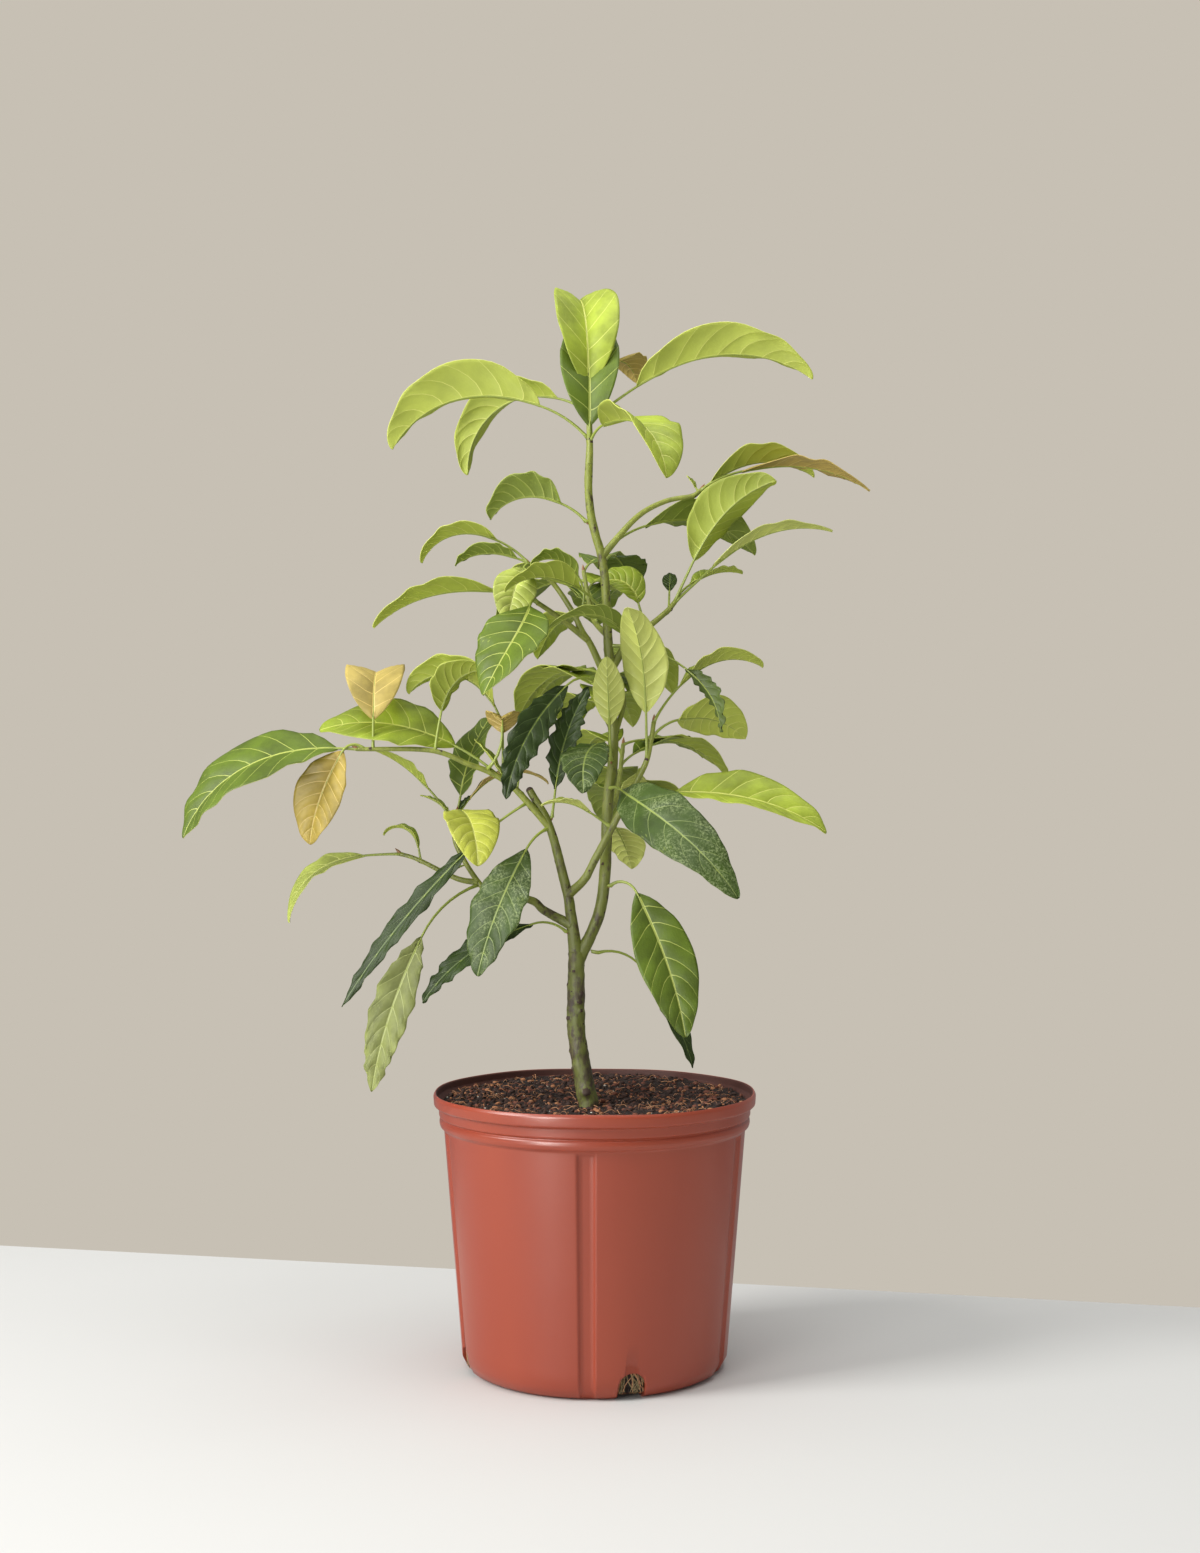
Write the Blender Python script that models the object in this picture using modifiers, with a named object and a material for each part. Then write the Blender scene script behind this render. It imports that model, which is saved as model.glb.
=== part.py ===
"""Avocado tree in a nursery pot.

A young, one-stemmed avocado of about 0.88 m with its pot. The origin is the centre of the pot's flat
underside, +Z is up, and the photographed side looks towards -Y. Sizes below are in millimetres and degrees.

A limb is a tapering tube through a few hand-chosen points. A leaf is grown by one rule from a short list
of sizes: where it leaves its stem, which way it heads, how far it rises, how long its stalk and blade are
and how much they bend. A mass of foliage is one stem with its twigs and leaves fused together.
"""
import math
import random
from collections import namedtuple

import bmesh
import bpy
from mathutils import Matrix, Vector

MM = 0.001
GAP = 0.3                      # clearance between neighbouring solids

# Pot, a turned shell with five pressed channels and four drain holes
POT_HEIGHT = 228
LIP_RADIUS = 133.5
LIP_HEIGHT = 11
BAND_RADIUS = 129
BEAD_RADIUS = 128.5
BEAD_FOOT = 198                # height where the straight wall ends under the bead
WALL_TOP_RADIUS = 125
WALL_FOOT_RADIUS = 109
BASE_RADIUS = 100
WALL = 3
TURN_STEPS = 48
CHANNEL_ANGLES = (-75, -3, 69, 141, 213)
CHANNEL_WIDTH = 13
CHANNEL_DEPTH = 1.4
HOLE_ANGLES = (15.6, 105.6, 195.6, 285.6)
HOLE_WIDTH = 22
HOLE_HEIGHT = 22
SOIL_TOP = 218

# Leaf sections: shares of the blade's length, and the thickness there
BLADE_SHARES = (0.0, 0.12, 0.3, 0.5, 0.7, 0.87, 1.0)
STALK_STEPS = 3
STALK_RADIUS = 1.3
RIB_THICKNESS = 1.4
TIP_RADIUS = 0.5

BACK_SEED = 7

Leaf = namedtuple("Leaf", "at heading rise stalk sag blade droop width roll fold swing kind",
                  defaults=(0, 0, 60, 0, 80, 40, 40, 0, 20, 0, "young"))
Twig = namedtuple("Twig", "at points radii leaves")

# Limbs: what each one leaves and at which share, the points after its foot, and the radius at each end
TRUNK = [(-5, -38, 218.3), (-5, -38, 224), (-9, -36, 242), (-13, -34, 266), (-15, -33, 290), (-15, -32, 343)]
TRUNK_RADII = (7.2, 6.2)
LIMBS = {
    "leader": Twig(("trunk", 0.97), [(2, -31, 371), (8, -30, 403), (11, -29, 469), (15, -29, 502),
                                     (14, -29, 551), (11, -29, 600), (9, -28, 641), (6, -28, 666),
                                     (-2, -28, 697), (-5, -28, 722), (-4.5, -29, 744)], (5.0, 3.2), []),
    "bough_left": Twig(("trunk", 1.0), [(-16, -32, 350), (-21, -32, 387), (-25, -33, 404), (-37, -35, 448),
                                        (-53, -37, 477)], (4.7, 3.0), []),
    "bough_low_left": Twig(("bough_left", 0.19), [(-41, -26, 378), (-51, -24, 386), (-78, -22, 393)],
                           (3.8, 2.8), []),
    "bough_right": Twig(("bough_left", 0.37), [(-8, -43, 405), (0, -44.5, 420), (19, -46, 456),
                                               (32.5, -48, 481)], (3.4, 2.7), []),
    "spur": Twig(("leader", 0.45), [(22.5, -26, 541), (24, -26, 551), (21.5, -26, 561)], (2.2, 1.8), []),
}


def catmull_rom(points, step):
    """Points a step apart or less on a smooth curve through the given ones."""
    ends = [points[0] * 2 - points[1]] + points + [points[-1] * 2 - points[-2]]
    out = []
    for a, b, c, d in zip(ends, ends[1:], ends[2:], ends[3:]):
        count = max(1, math.ceil((c - b).length / step))
        for i in range(count):
            t = i / count
            out.append(0.5 * (2 * b + (c - a) * t + (2 * a - 5 * b + 4 * c - d) * t * t
                              + (3 * b - a - 3 * c + d) * t ** 3))
    return out + [points[-1]]


class Stem:
    """A smooth tapering axis, in millimetres."""

    def __init__(self, points, radii, step=11):
        self.points = catmull_rom([Vector(p) for p in points], step)
        self.radii = radii
        self.marks = [0.0]
        for a, b in zip(self.points, self.points[1:]):
            self.marks.append(self.marks[-1] + (b - a).length)

    def radius(self, share):
        return self.radii[0] + (self.radii[1] - self.radii[0]) * share

    def place(self, share):
        """The point and the direction at a share of the length."""
        want = share * self.marks[-1]
        for i in range(1, len(self.marks)):
            if self.marks[i] >= want - 1e-9:
                a, b = self.points[i - 1], self.points[i]
                t = (want - self.marks[i - 1]) / (self.marks[i] - self.marks[i - 1])
                return a.lerp(b, t), (b - a).normalized()
        return self.points[-1], (self.points[-1] - self.points[-2]).normalized()


def aim(heading, rise):
    h, r = math.radians(heading), math.radians(rise)
    return Vector((math.cos(h) * math.cos(r), math.sin(h) * math.cos(r), math.sin(r)))


def blade_shape(u):
    """Half width of the blade, as a share of its greatest, at a share u of its length."""
    return max(0.0, math.sin(math.pi * u ** 0.9)) ** 0.85


def leaf_sections(leaf, root):
    """Cross-sections along stalk and blade: centre, right side, upper side, half width, thickness, fold."""
    sections = []
    spot = Vector(root)
    steps = [(s / STALK_STEPS, None) for s in range(STALK_STEPS)] + [(1.0, u) for u in BLADE_SHARES]
    last = (0.0, 0.0)
    for stalk_share, u in steps:
        along_stalk, along_blade = stalk_share, u or 0.0
        # the bend between the last section and this one is taken at its middle
        mid_stalk = (last[0] + along_stalk) / 2
        mid_blade = (last[1] + along_blade) / 2
        length = (along_stalk - last[0]) * leaf.stalk + (along_blade - last[1]) * leaf.blade
        rise_mid = leaf.rise - leaf.sag * mid_stalk - leaf.droop * mid_blade ** 1.3
        spot = spot + aim(leaf.heading + leaf.swing * mid_blade, rise_mid) * length
        rise = leaf.rise - leaf.sag * along_stalk - leaf.droop * along_blade ** 1.3
        heading = leaf.heading + leaf.swing * along_blade
        forward = aim(heading, rise)
        upper = aim(heading, rise + 90)
        right = forward.cross(upper)
        turn = math.radians(leaf.roll) * (along_stalk if u is None else 1.0)
        side = right * math.cos(turn) + upper * math.sin(turn)
        face = upper * math.cos(turn) - right * math.sin(turn)
        half = STALK_RADIUS if u is None else max(TIP_RADIUS, leaf.width / 2 * blade_shape(u))
        if u == 0.0:
            half = STALK_RADIUS
        thick = STALK_RADIUS if u is None else RIB_THICKNESS * (1 - 0.6 * u)
        fold = 0.0 if u is None else math.radians(leaf.fold)
        sections.append((spot, side, face, half, thick, fold))
        last = (along_stalk, along_blade)
    return sections


def leaf_mesh(leaf, root):
    """One closed loft of flat rhombs, from the foot of the stalk to the tip."""
    bm = bmesh.new()
    rings = []
    for spot, side, face, half, thick, fold in leaf_sections(leaf, root):
        lift = face * math.sin(fold) * half
        reach = side * math.cos(fold) * half
        ring = [spot + reach + lift, spot + face * thick, spot - reach + lift, spot - face * thick]
        rings.append([bm.verts.new(p * MM) for p in ring])
    bm.faces.new(rings[0])
    bm.faces.new(reversed(rings[-1]))
    for a, b in zip(rings, rings[1:]):
        for i in range(4):
            j = (i + 1) % 4
            bm.faces.new((a[j], a[i], b[i], b[j]))
    bmesh.ops.triangulate(bm, faces=bm.faces)
    bmesh.ops.recalc_face_normals(bm, faces=bm.faces)
    mesh = bpy.data.meshes.new("leaf")
    bm.to_mesh(mesh)
    bm.free()
    return mesh


# The leaves of each mass, from its foot to its tip. at is a share of the stem.
TOP_TUFT = Twig(("leader", 1.0), [(-4, -29, 763), (-5, -28, 798)], (3.0, 2.0), [
    Leaf(1.0, 98, 88, 8, 0, 142, 104, 62, 0, 30, 0, "lime"),
    Leaf(0.34, 270, 45, 12, -43, 121, -92, 52, 180, 20, 0, "mature"),
    Leaf(0.34, 180, 51, 50, 32, 138, 82, 61, -33, 40, 0, "lime"),
    Leaf(0.78, 150, 34, 32, 18, 126, 112, 46, -20, 38, 0, "lime"),
    Leaf(0.62, 0, 41, 47, 8, 155, 70, 52, 30, 38, 0, "lime"),
    Leaf(0.97, 56, 58, 42, 20, 54, 108, 40, 0, 12, 0, "bronze"),
    Leaf(0.30, 303, 55, 24, 48, 116, 88, 62, 8, 18, 0, "lime"),
])
UPPER_RIGHT = Twig(("leader", 0.82), [(34, -25, 700), (57.5, -20, 714), (80, -17, 719), (87, -16, 723.5)],
                   (2.4, 1.8), [
    Leaf(1.0, 0, 38, 38, 26, 110, 48, 40, 5, 10, 0, "bronze"),
    Leaf(0.98, 12, 40, 12, 4, 97, 72, 38, 20, 30, 0, "young"),
    Leaf(0.98, 150, 60, 4, 0, 14, 20, 8, 0, 10, 0, "young"),
    Leaf(0.04, 27, 42, 38, 24, 114, 65, 46, 25, 22, 0, "mature"),
])
RIGHT_SPRAY = Twig(("leader", 0.59), [(29, -22, 600), (44, -16, 611), (60, -8, 625), (66, -5, 632)],
                   (2.9, 2.0), [
    Leaf(1.0, 335, 64, 39, 2, 98, 50, 50, 35, 28, 0, "young"),
    Leaf(1.0, 358, 44, 44, 3, 107, 57, 34, 0, 22, 0, "pale"),
    Leaf(0.95, 25, 62, 26, 30, 52, 45, 32, 0, 15, 0, "young"),
    Leaf(0.90, 85, 62, 18, 0, 22, 30, 13, 0, 15, 0, "dark"),
    Leaf(0.55, 168, 70, 22, -5, 42, 110, 30, 50, 20, 0, "young"),
    Leaf(0.30, 240, 38, 9, 5, 84, 75, 24, -20, 20, -50, "mature"),
])
UPPER_LEFT = Twig(("leader", 0.55), [(-2, -35, 593), (-10, -36, 606), (-19, -34, 624), (-35, -31, 647),
                                     (-53, -30, 661)], (2.8, 1.8), [
    Leaf(1.0, 180, 50, 32, 25, 74, 95, 30, -10, 25, 0, "lime"),
    Leaf(0.97, 180, 40, 14, 20, 55, 60, 24, -20, 25, 0, "mature"),
    Leaf(1.0, 245, 10, 12, 55, 54, 35, 36, 30, 12, 0, "pale"),
    Leaf(0.50, 180, 128, 36, 70, 46, 105, 28, -10, 25, 0, "mature"),
])
UPPER_LEFT_LOW = Twig(0.33, [(-10, -36, 606), (-30, -38, 618), (-46, -41, 629)], (2.2, 1.8), [
    Leaf(1.0, 185, 25, 34, 20, 108, 50, 38, -10, 25, 0, "young"),
    Leaf(1.0, 258, 22, 28, 62, 96, 25, 58, 12, 8, -55, "mature"),
])
LEFT_SHOOT = Twig(("bough_left", 0.78), [(-57, -41, 470), (-69, -43, 482), (-86, -46, 492), (-102, -49, 498),
                                         (-132, -54, 509), (-190, -60, 510)], (2.6, 1.7), [
    Leaf(1.0, 180, 3, 16, 2, 154, 72, 64, 35, 8, 0, "lime"),
    Leaf(0.97, 190, 50, 20, 110, 80, 25, 44, 60, 15, 0, "bronze"),
    Leaf(0.93, 92, 82, 24, 0, 96, 150, 50, 0, 14, 0, "tan"),
    Leaf(0.64, 348, 83, 33, 5, 56, 90, 42, 20, 22, 0, "young"),
    Leaf(0.38, 168, 138, 56, 80, 88, 115, 40, -25, 30, 0, "lime"),
    Leaf(0.30, 175, 44, 46, 18, 116, 45, 62, 35, 8, 0, "lime"),
    Leaf(0.29, 270, 88, 38, 10, 28, 120, 30, 0, 22, 0, "bronze"),
    Leaf(0.27, 170, 58, 6, 0, 38, 15, 16, 0, 15, 0, "young"),
    Leaf(0.21, 18, 80, 31, 5, 64, 48, 34, 30, 25, 0, "young"),
    Leaf(0.13, 192, -30, 53, 14, 170, 15, 21, 50, 6, 0, "wavy"),
])
LOW_LEFT = Twig(("bough_low_left", 1.0), [(-93, -19, 398), (-113, -16, 429), (-116, -15, 447),
                                          (-114, -15, 457)], (2.4, 1.7), [
    Leaf(0.22, 196, -18, 66, 46, 132, 18, 38, 60, 8, 0, "dull"),
    Leaf(0.97, 165, 40, 8, 0, 28, 30, 14, 0, 15, 0, "young"),
    Leaf(0.98, 20, 60, 4, 0, 20, 30, 12, 0, 15, 0, "dark"),
    Leaf(0.90, 180, 60, 35, 12, 58, 30, 26, -10, 20, 0, "young"),
    Leaf(0.88, 42, 72, 25, -5, 75, 30, 42, 0, 12, 0, "mature"),
    Leaf(0.92, 5, 62, 22, 10, 76, 95, 24, 0, 15, 0, "bronze"),
    Leaf(0.92, 290, 66, 20, 70, 74, 85, 46, 0, 10, 0, "yellow"),
])
LOW_LEFT_OUT = Twig(0.24, [(-93, -19, 398), (-114, -14, 404), (-145, -12, 419), (-160, -11, 424)],
                    (2.0, 1.6), [
    Leaf(1.0, 180, 0, 30, 5, 92, 85, 34, 22, 10, 0, "pale"),
    Leaf(0.75, 170, 80, 10, 0, 42, 140, 16, 0, 20, 0, "young"),
    Leaf(0.40, 30, 30, 3, 0, 16, 20, 8, 0, 15, 0, "young"),
])
RIGHT_SHOOT = Twig(("bough_right", 1.0), [(42, -47, 500.5), (46.5, -42, 521), (48, -39, 532)], (2.5, 1.8), [
    Leaf(0.40, 245, 88, 38, 0, 94, 50, 42, 0, 15, 0, "pale"),
    Leaf(1.0, 24, 60, 37, 16, 86, 72, 32, 15, 25, 0, "lime"),
    Leaf(0.74, 36, 50, 32, 40, 76, 50, 44, 45, 15, 0, "lime"),
    Leaf(0.22, 115, 60, 9, 135, 34, 10, 26, 0, 12, 0, "pale"),
])

# Single leaves, each on the limb and at the share of it that the key names
SINGLES = {
    "leaf_upper_left": ("leader", 0.885, Leaf(0, 180, 49, 25, 25, 66, 85, 44, -25, 35, 0, "mature")),
    "leaf_over_spray": ("leader", 0.70, Leaf(0, 213, 54, 27, 30, 75, 65, 34, -20, 25, 0, "young")),
    "leaf_behind_leader": ("leader", 0.80, Leaf(0, 72, 35, 30, 40, 52, 60, 40, 0, 10, 0, "dark")),
    "leaf_curled": ("leader", 0.63, Leaf(0, 350, 2, 64, 40, 62, 50, 22, 60, 20, -35, "wavy")),
    "leaf_hanging_left": ("leader", 0.53, Leaf(0, 215, 66, 44, 106, 112, 40, 31, 60, 8, 0, "wavy")),
    "leaf_standing": ("leader", 0.40, Leaf(0, 262, 68, 30, -5, 58, 5, 28, 0, 20, 0, "pale")),
    "leaf_front": ("leader", 0.42, Leaf(0, 238, 55, 18, 68, 66, 62, 40, 0, 6, 40, "speckled")),
    "leaf_big_right": ("leader", 0.345, Leaf(0, 285, 8, 30, 20, 160, 46, 50, -45, 5, 65, "speckled")),
    "leaf_low_right": ("leader", 0.15, Leaf(0, 330, 40, 28, 100, 124, 20, 48, -50, 8, 0, "mature")),
    "leaf_lowest_right": ("leader", 0.015, Leaf(0, 10, 15, 40, 68, 95, 22, 22, -50, 10, 0, "dark")),
    "leaf_low_left": ("bough_left", 0.13, Leaf(0, 194, 45, 30, 62, 112, 40, 25, 45, 10, 0, "wavy")),
    "leaf_back_right": ("leader", 0.27, Leaf(0, 60, 20, 10, 60, 45, 30, 36, 0, 10, 0, "pale")),
    "leaf_speckled": ("bough_left", 0.75, Leaf(0, 220, -20, 26, 35, 112, 20, 48, 25, 5, 0, "speckled")),
    "leaf_upright": ("bough_left", 0.80, Leaf(0, 0, 83, 23, 0, 88, 26, 28, -70, 10, 0, "wavy")),
    "leaf_pale_left": ("bough_right", 0.62, Leaf(0, 186, 35, 16, 0, 44, 60, 28, 0, 15, 0, "pale")),
    "leaf_right": ("bough_right", 0.85, Leaf(0, 355, 28, 36, 26, 130, 38, 50, -35, 22, 0, "lime")),
}

# Twigs that fill the crown's far side; their leaves follow one seeded rule
BACK_SPRAYS = {
    "back_spray_low": ("leader", 0.30, 78),
    "back_spray_middle": ("leader", 0.47, 100),
    "back_spray_high": ("leader", 0.66, 108),
}
BACK_TWIG = 85
BACK_LEAVES = 7


def material(name, colour, roughness):
    mat = bpy.data.materials.new(name)
    mat.use_nodes = True
    shader = mat.node_tree.nodes["Principled BSDF"]
    shader.inputs["Base Color"].default_value = (*colour, 1)
    shader.inputs["Roughness"].default_value = roughness
    shader.inputs["Metallic"].default_value = 0
    return mat


def add(name, mesh, mat, collection):
    obj = bpy.data.objects.new(name, mesh)
    mesh.materials.clear()
    mesh.materials.append(mat)
    collection.objects.link(obj)
    return obj


def tube(stem, sides):
    """A tapering tube with welded caps along a stem."""
    curve = bpy.data.curves.new("tube", "CURVE")
    curve.dimensions = "3D"
    curve.bevel_depth = MM
    curve.bevel_resolution = sides // 2 - 2
    curve.use_fill_caps = True
    spline = curve.splines.new("POLY")
    spline.points.add(len(stem.points) - 1)
    for point, place, mark in zip(spline.points, stem.points, stem.marks):
        point.co = (*(place * MM), 1)
        point.radius = stem.radius(mark / stem.marks[-1])
    obj = bpy.data.objects.new("tube", curve)
    bpy.context.scene.collection.objects.link(obj)
    mesh = bpy.data.meshes.new_from_object(obj.evaluated_get(bpy.context.evaluated_depsgraph_get()))
    bpy.data.objects.remove(obj)
    bm = bmesh.new()
    bm.from_mesh(mesh)
    bmesh.ops.remove_doubles(bm, verts=bm.verts, dist=1e-6)
    bmesh.ops.triangulate(bm, faces=bm.faces)
    bmesh.ops.recalc_face_normals(bm, faces=bm.faces)
    bm.to_mesh(mesh)
    bm.free()
    return mesh


def fuse(name, meshes, mat, collection):
    """Join closed meshes into one body: the first is kept, the rest are united with it."""
    body = add(name, meshes[0], mat, collection)
    if len(meshes) > 1:
        pieces = bpy.data.collections.new(name + "_pieces")
        bpy.context.scene.collection.children.link(pieces)
        for mesh in meshes[1:]:
            add(name + "_piece", mesh, mat, pieces)
        union = body.modifiers.new("union", "BOOLEAN")
        union.operation = "UNION"
        union.operand_type = "COLLECTION"
        union.collection = pieces
        union.solver = "MANIFOLD"
        graph = bpy.context.evaluated_depsgraph_get()
        joined = bpy.data.meshes.new_from_object(body.evaluated_get(graph))
        body.modifiers.clear()
        body.data = joined
        for piece in list(pieces.objects):
            bpy.data.objects.remove(piece)
        bpy.data.collections.remove(pieces)
    return body


def turned(name, profile, mat, collection):
    """A profile of (radius, height) turned round the Z axis."""
    mesh = bpy.data.meshes.new(name)
    points = [(r * MM, 0, z * MM) for r, z in profile]
    mesh.from_pydata(points, [(i, i + 1) for i in range(len(points) - 1)], [])
    obj = add(name, mesh, mat, collection)
    screw = obj.modifiers.new("turn", "SCREW")
    screw.steps = screw.render_steps = TURN_STEPS
    screw.use_merge_vertices = True
    screw.merge_threshold = 1e-5
    screw.use_normal_calculate = True
    joined = bpy.data.meshes.new_from_object(obj.evaluated_get(bpy.context.evaluated_depsgraph_get()))
    obj.modifiers.clear()
    obj.data = joined
    return obj


def wall_radius(height):
    """Outer radius of the pot's straight wall at a height."""
    return WALL_FOOT_RADIUS + (WALL_TOP_RADIUS - WALL_FOOT_RADIUS) * height / BEAD_FOOT


def pot_profile():
    lip_foot = POT_HEIGHT - LIP_HEIGHT
    inner = BAND_RADIUS - WALL
    corner = WALL_FOOT_RADIUS - BASE_RADIUS
    outside = [(LIP_RADIUS - 0.8, POT_HEIGHT), (LIP_RADIUS, POT_HEIGHT - 1), (LIP_RADIUS, lip_foot + 1),
               (LIP_RADIUS - 1, lip_foot), (BAND_RADIUS + 0.5, lip_foot - 0.5),
               (BAND_RADIUS, BEAD_FOOT + 10.5), (BAND_RADIUS - 1.8, BEAD_FOOT + 9),
               (BEAD_RADIUS, BEAD_FOOT + 7.5), (BEAD_RADIUS, BEAD_FOOT + 1.5), (WALL_TOP_RADIUS, BEAD_FOOT)]
    foot = [(wall_radius(corner), corner), (WALL_FOOT_RADIUS - corner * 0.3, corner * 0.3), (BASE_RADIUS, 0),
            (0, 0)]
    inside = [(0, WALL), (BASE_RADIUS, WALL), (wall_radius(corner) - WALL, corner),
              (WALL_TOP_RADIUS - WALL, BEAD_FOOT), (inner, BEAD_FOOT + 5), (inner, lip_foot + 1.5),
              (LIP_RADIUS - WALL, lip_foot + 5), (LIP_RADIUS - WALL, POT_HEIGHT - 0.8),
              (LIP_RADIUS - WALL + 0.8, POT_HEIGHT)]
    return inside + outside + foot


def cutter(name, mesh_maker, place, angle, lean, cutters):
    """A closed cutting shape at a place on the pot's front, turned round the axis by an angle."""
    mesh = bpy.data.meshes.new(name)
    bm = bmesh.new()
    mesh_maker(bm)
    bmesh.ops.rotate(bm, verts=bm.verts, matrix=rotation("X", lean))
    bmesh.ops.translate(bm, verts=bm.verts, vec=Vector(place) * MM)
    bmesh.ops.rotate(bm, verts=bm.verts, matrix=rotation("Z", angle))
    bm.to_mesh(mesh)
    bm.free()
    obj = bpy.data.objects.new(name, mesh)
    obj.hide_render = True
    obj.display_type = "WIRE"
    cutters.objects.link(obj)
    return obj


def rotation(axis, degrees):
    return Matrix.Rotation(math.radians(degrees), 3, axis)


def channel_shape(bm):
    bmesh.ops.create_cube(bm, size=1)
    bmesh.ops.scale(bm, verts=bm.verts, vec=Vector((CHANNEL_WIDTH, 10, BEAD_FOOT + 4)) * MM)


def arch_shape(bm):
    """A doorway with a round head, standing on z = 0 and 40 mm deep."""
    half = HOLE_WIDTH / 2
    spring = HOLE_HEIGHT - half
    outline = [(-half, -6), (half, -6)]
    for i in range(9):
        angle = math.pi * i / 8
        outline.append((half * math.cos(angle), spring + half * math.sin(angle)))
    front = bm.faces.new([bm.verts.new((x * MM, -20 * MM, z * MM)) for x, z in outline])
    grown = bmesh.ops.extrude_face_region(bm, geom=[front])
    moved = [v for v in grown["geom"] if isinstance(v, bmesh.types.BMVert)]
    bmesh.ops.translate(bm, verts=moved, vec=(0, 40 * MM, 0))
    bmesh.ops.recalc_face_normals(bm, faces=bm.faces)


def pot(parts, cutters, mat):
    shell = turned("pot", pot_profile(), mat, parts)
    lean = math.degrees(math.atan2(WALL_TOP_RADIUS - WALL_FOOT_RADIUS, BEAD_FOOT))
    middle = BEAD_FOOT / 2 - 4
    for angle in CHANNEL_ANGLES:
        place = (0, -(wall_radius(middle) - CHANNEL_DEPTH + 5), middle)
        cutter("channel", channel_shape, place, angle, lean, cutters)
    for angle in HOLE_ANGLES:
        cutter("drain_hole", arch_shape, (0, -WALL_FOOT_RADIUS, 0), angle, 0, cutters)
    cut = shell.modifiers.new("cuts", "BOOLEAN")
    cut.operation = "DIFFERENCE"
    cut.operand_type = "COLLECTION"
    cut.collection = cutters
    cut.solver = "EXACT"


def soil_profile():
    corner = WALL_FOOT_RADIUS - BASE_RADIUS
    inner = BAND_RADIUS - WALL - GAP
    return [(0, SOIL_TOP), (inner, SOIL_TOP), (inner, BEAD_FOOT + 5),
            (WALL_TOP_RADIUS - WALL - GAP, BEAD_FOOT), (wall_radius(corner) - WALL - GAP, corner),
            (BASE_RADIUS - GAP, WALL + GAP), (0, WALL + GAP)]


def clear_foot(carrier, share, target, radius):
    """The start of a limb that grows towards target from the side or the tip of its carrier."""
    centre, along = carrier.place(share)
    way = (target - centre).normalized()
    if share == 1.0:
        return centre + along * (radius * way.cross(along).length + GAP + 0.1)
    out = (way - along * way.dot(along)).normalized()
    slope = abs(way.dot(along))
    return centre + out * (carrier.radius(share) + radius * slope + GAP + 0.1)


def grown_stem(twig, stems):
    carrier, share = twig.at
    foot = clear_foot(stems[carrier], share, Vector(twig.points[0]), twig.radii[0])
    return Stem([foot] + twig.points, twig.radii)


def mass(name, twigs, stems, mat, parts):
    """One node: a stem, the twigs that leave it, and the leaves of each."""
    meshes = []
    main = grown_stem(twigs[0], stems)
    for i, twig in enumerate(twigs):
        stem = main if i == 0 else Stem([main.place(twig.at)[0]] + twig.points[1:], twig.radii)
        meshes.append(tube(stem, 6))
        meshes += [leaf_mesh(leaf, stem.place(leaf.at)[0]) for leaf in twig.leaves]
    return fuse(name, meshes, mat, parts)


def back_spray(carrier, share, heading, stems, rng):
    """A short twig on the far side, with leaves at even turns round it."""
    centre, _ = stems[carrier].place(share)
    tip = centre + aim(heading, 40) * BACK_TWIG
    bend = centre + aim(heading, 20) * (BACK_TWIG * 0.5)
    leaves = []
    for i in range(BACK_LEAVES):
        turn = heading + (i % 2 * 2 - 1) * (12 + 9 * (i // 2)) + rng.uniform(-6, 6)
        share_of_twig = 0.3 + 0.7 * i / (BACK_LEAVES - 1)
        leaves.append(Leaf(share_of_twig, turn, rng.uniform(10, 50), rng.uniform(18, 26), 15,
                           rng.uniform(80, 112), rng.uniform(50, 75), rng.uniform(36, 48), 0, 15, 0,
                           rng.choice(("mature", "young"))))
    return Twig((carrier, share), [tuple(bend), tuple(tip)], (2.2, 1.7), leaves)


def main():
    for obj in list(bpy.data.objects):
        bpy.data.objects.remove(obj)
    scene = bpy.context.scene.collection
    parts = bpy.data.collections.new("avocado_tree_in_pot")
    cutters = bpy.data.collections.new("cutters")
    scene.children.link(parts)
    scene.children.link(cutters)
    clay = material("pot_plastic", (0.36, 0.10, 0.06), 0.45)
    earth = material("soil", (0.05, 0.03, 0.02), 0.95)
    bark = material("bark", (0.16, 0.20, 0.06), 0.6)
    leaf = material("leaves", (0.22, 0.36, 0.06), 0.5)

    pot(parts, cutters, clay)
    turned("soil", soil_profile(), earth, parts)

    stems = {"trunk": Stem(TRUNK, TRUNK_RADII)}
    for name, limb in LIMBS.items():
        stems[name] = grown_stem(limb, stems)
    for name, stem in stems.items():
        add(name, tube(stem, 8), bark, parts)

    masses = {
        "top_tuft": [TOP_TUFT], "upper_right_spray": [UPPER_RIGHT], "right_spray": [RIGHT_SPRAY],
        "upper_left_spray": [UPPER_LEFT, UPPER_LEFT_LOW], "left_spray": [LEFT_SHOOT],
        "low_left_spray": [LOW_LEFT, LOW_LEFT_OUT], "right_shoot": [RIGHT_SHOOT],
    }
    rng = random.Random(BACK_SEED)
    for name, (carrier, share, heading) in BACK_SPRAYS.items():
        masses[name] = [back_spray(carrier, share, heading, stems, rng)]
    for name, twigs in masses.items():
        mass(name, twigs, stems, leaf, parts)
    for name, (carrier, share, single) in SINGLES.items():
        centre, _ = stems[carrier].place(share)
        way = centre + aim(single.heading, single.rise) * 20
        root = clear_foot(stems[carrier], share, way, STALK_RADIUS)
        add(name, leaf_mesh(single, root), leaf, parts)


main()
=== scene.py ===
"""Looks of the avocado tree in its nursery pot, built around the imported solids.

Limbs, twigs and leaves follow the rule of the part's source with finer steps. A leaf gets a midrib, side
veins, cushions between them and a wavy margin. Sizes are in millimetres and degrees until a mesh is built;
the floor, the lamps and the camera are placed in metres.
"""
import math
import random
from collections import namedtuple

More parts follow.
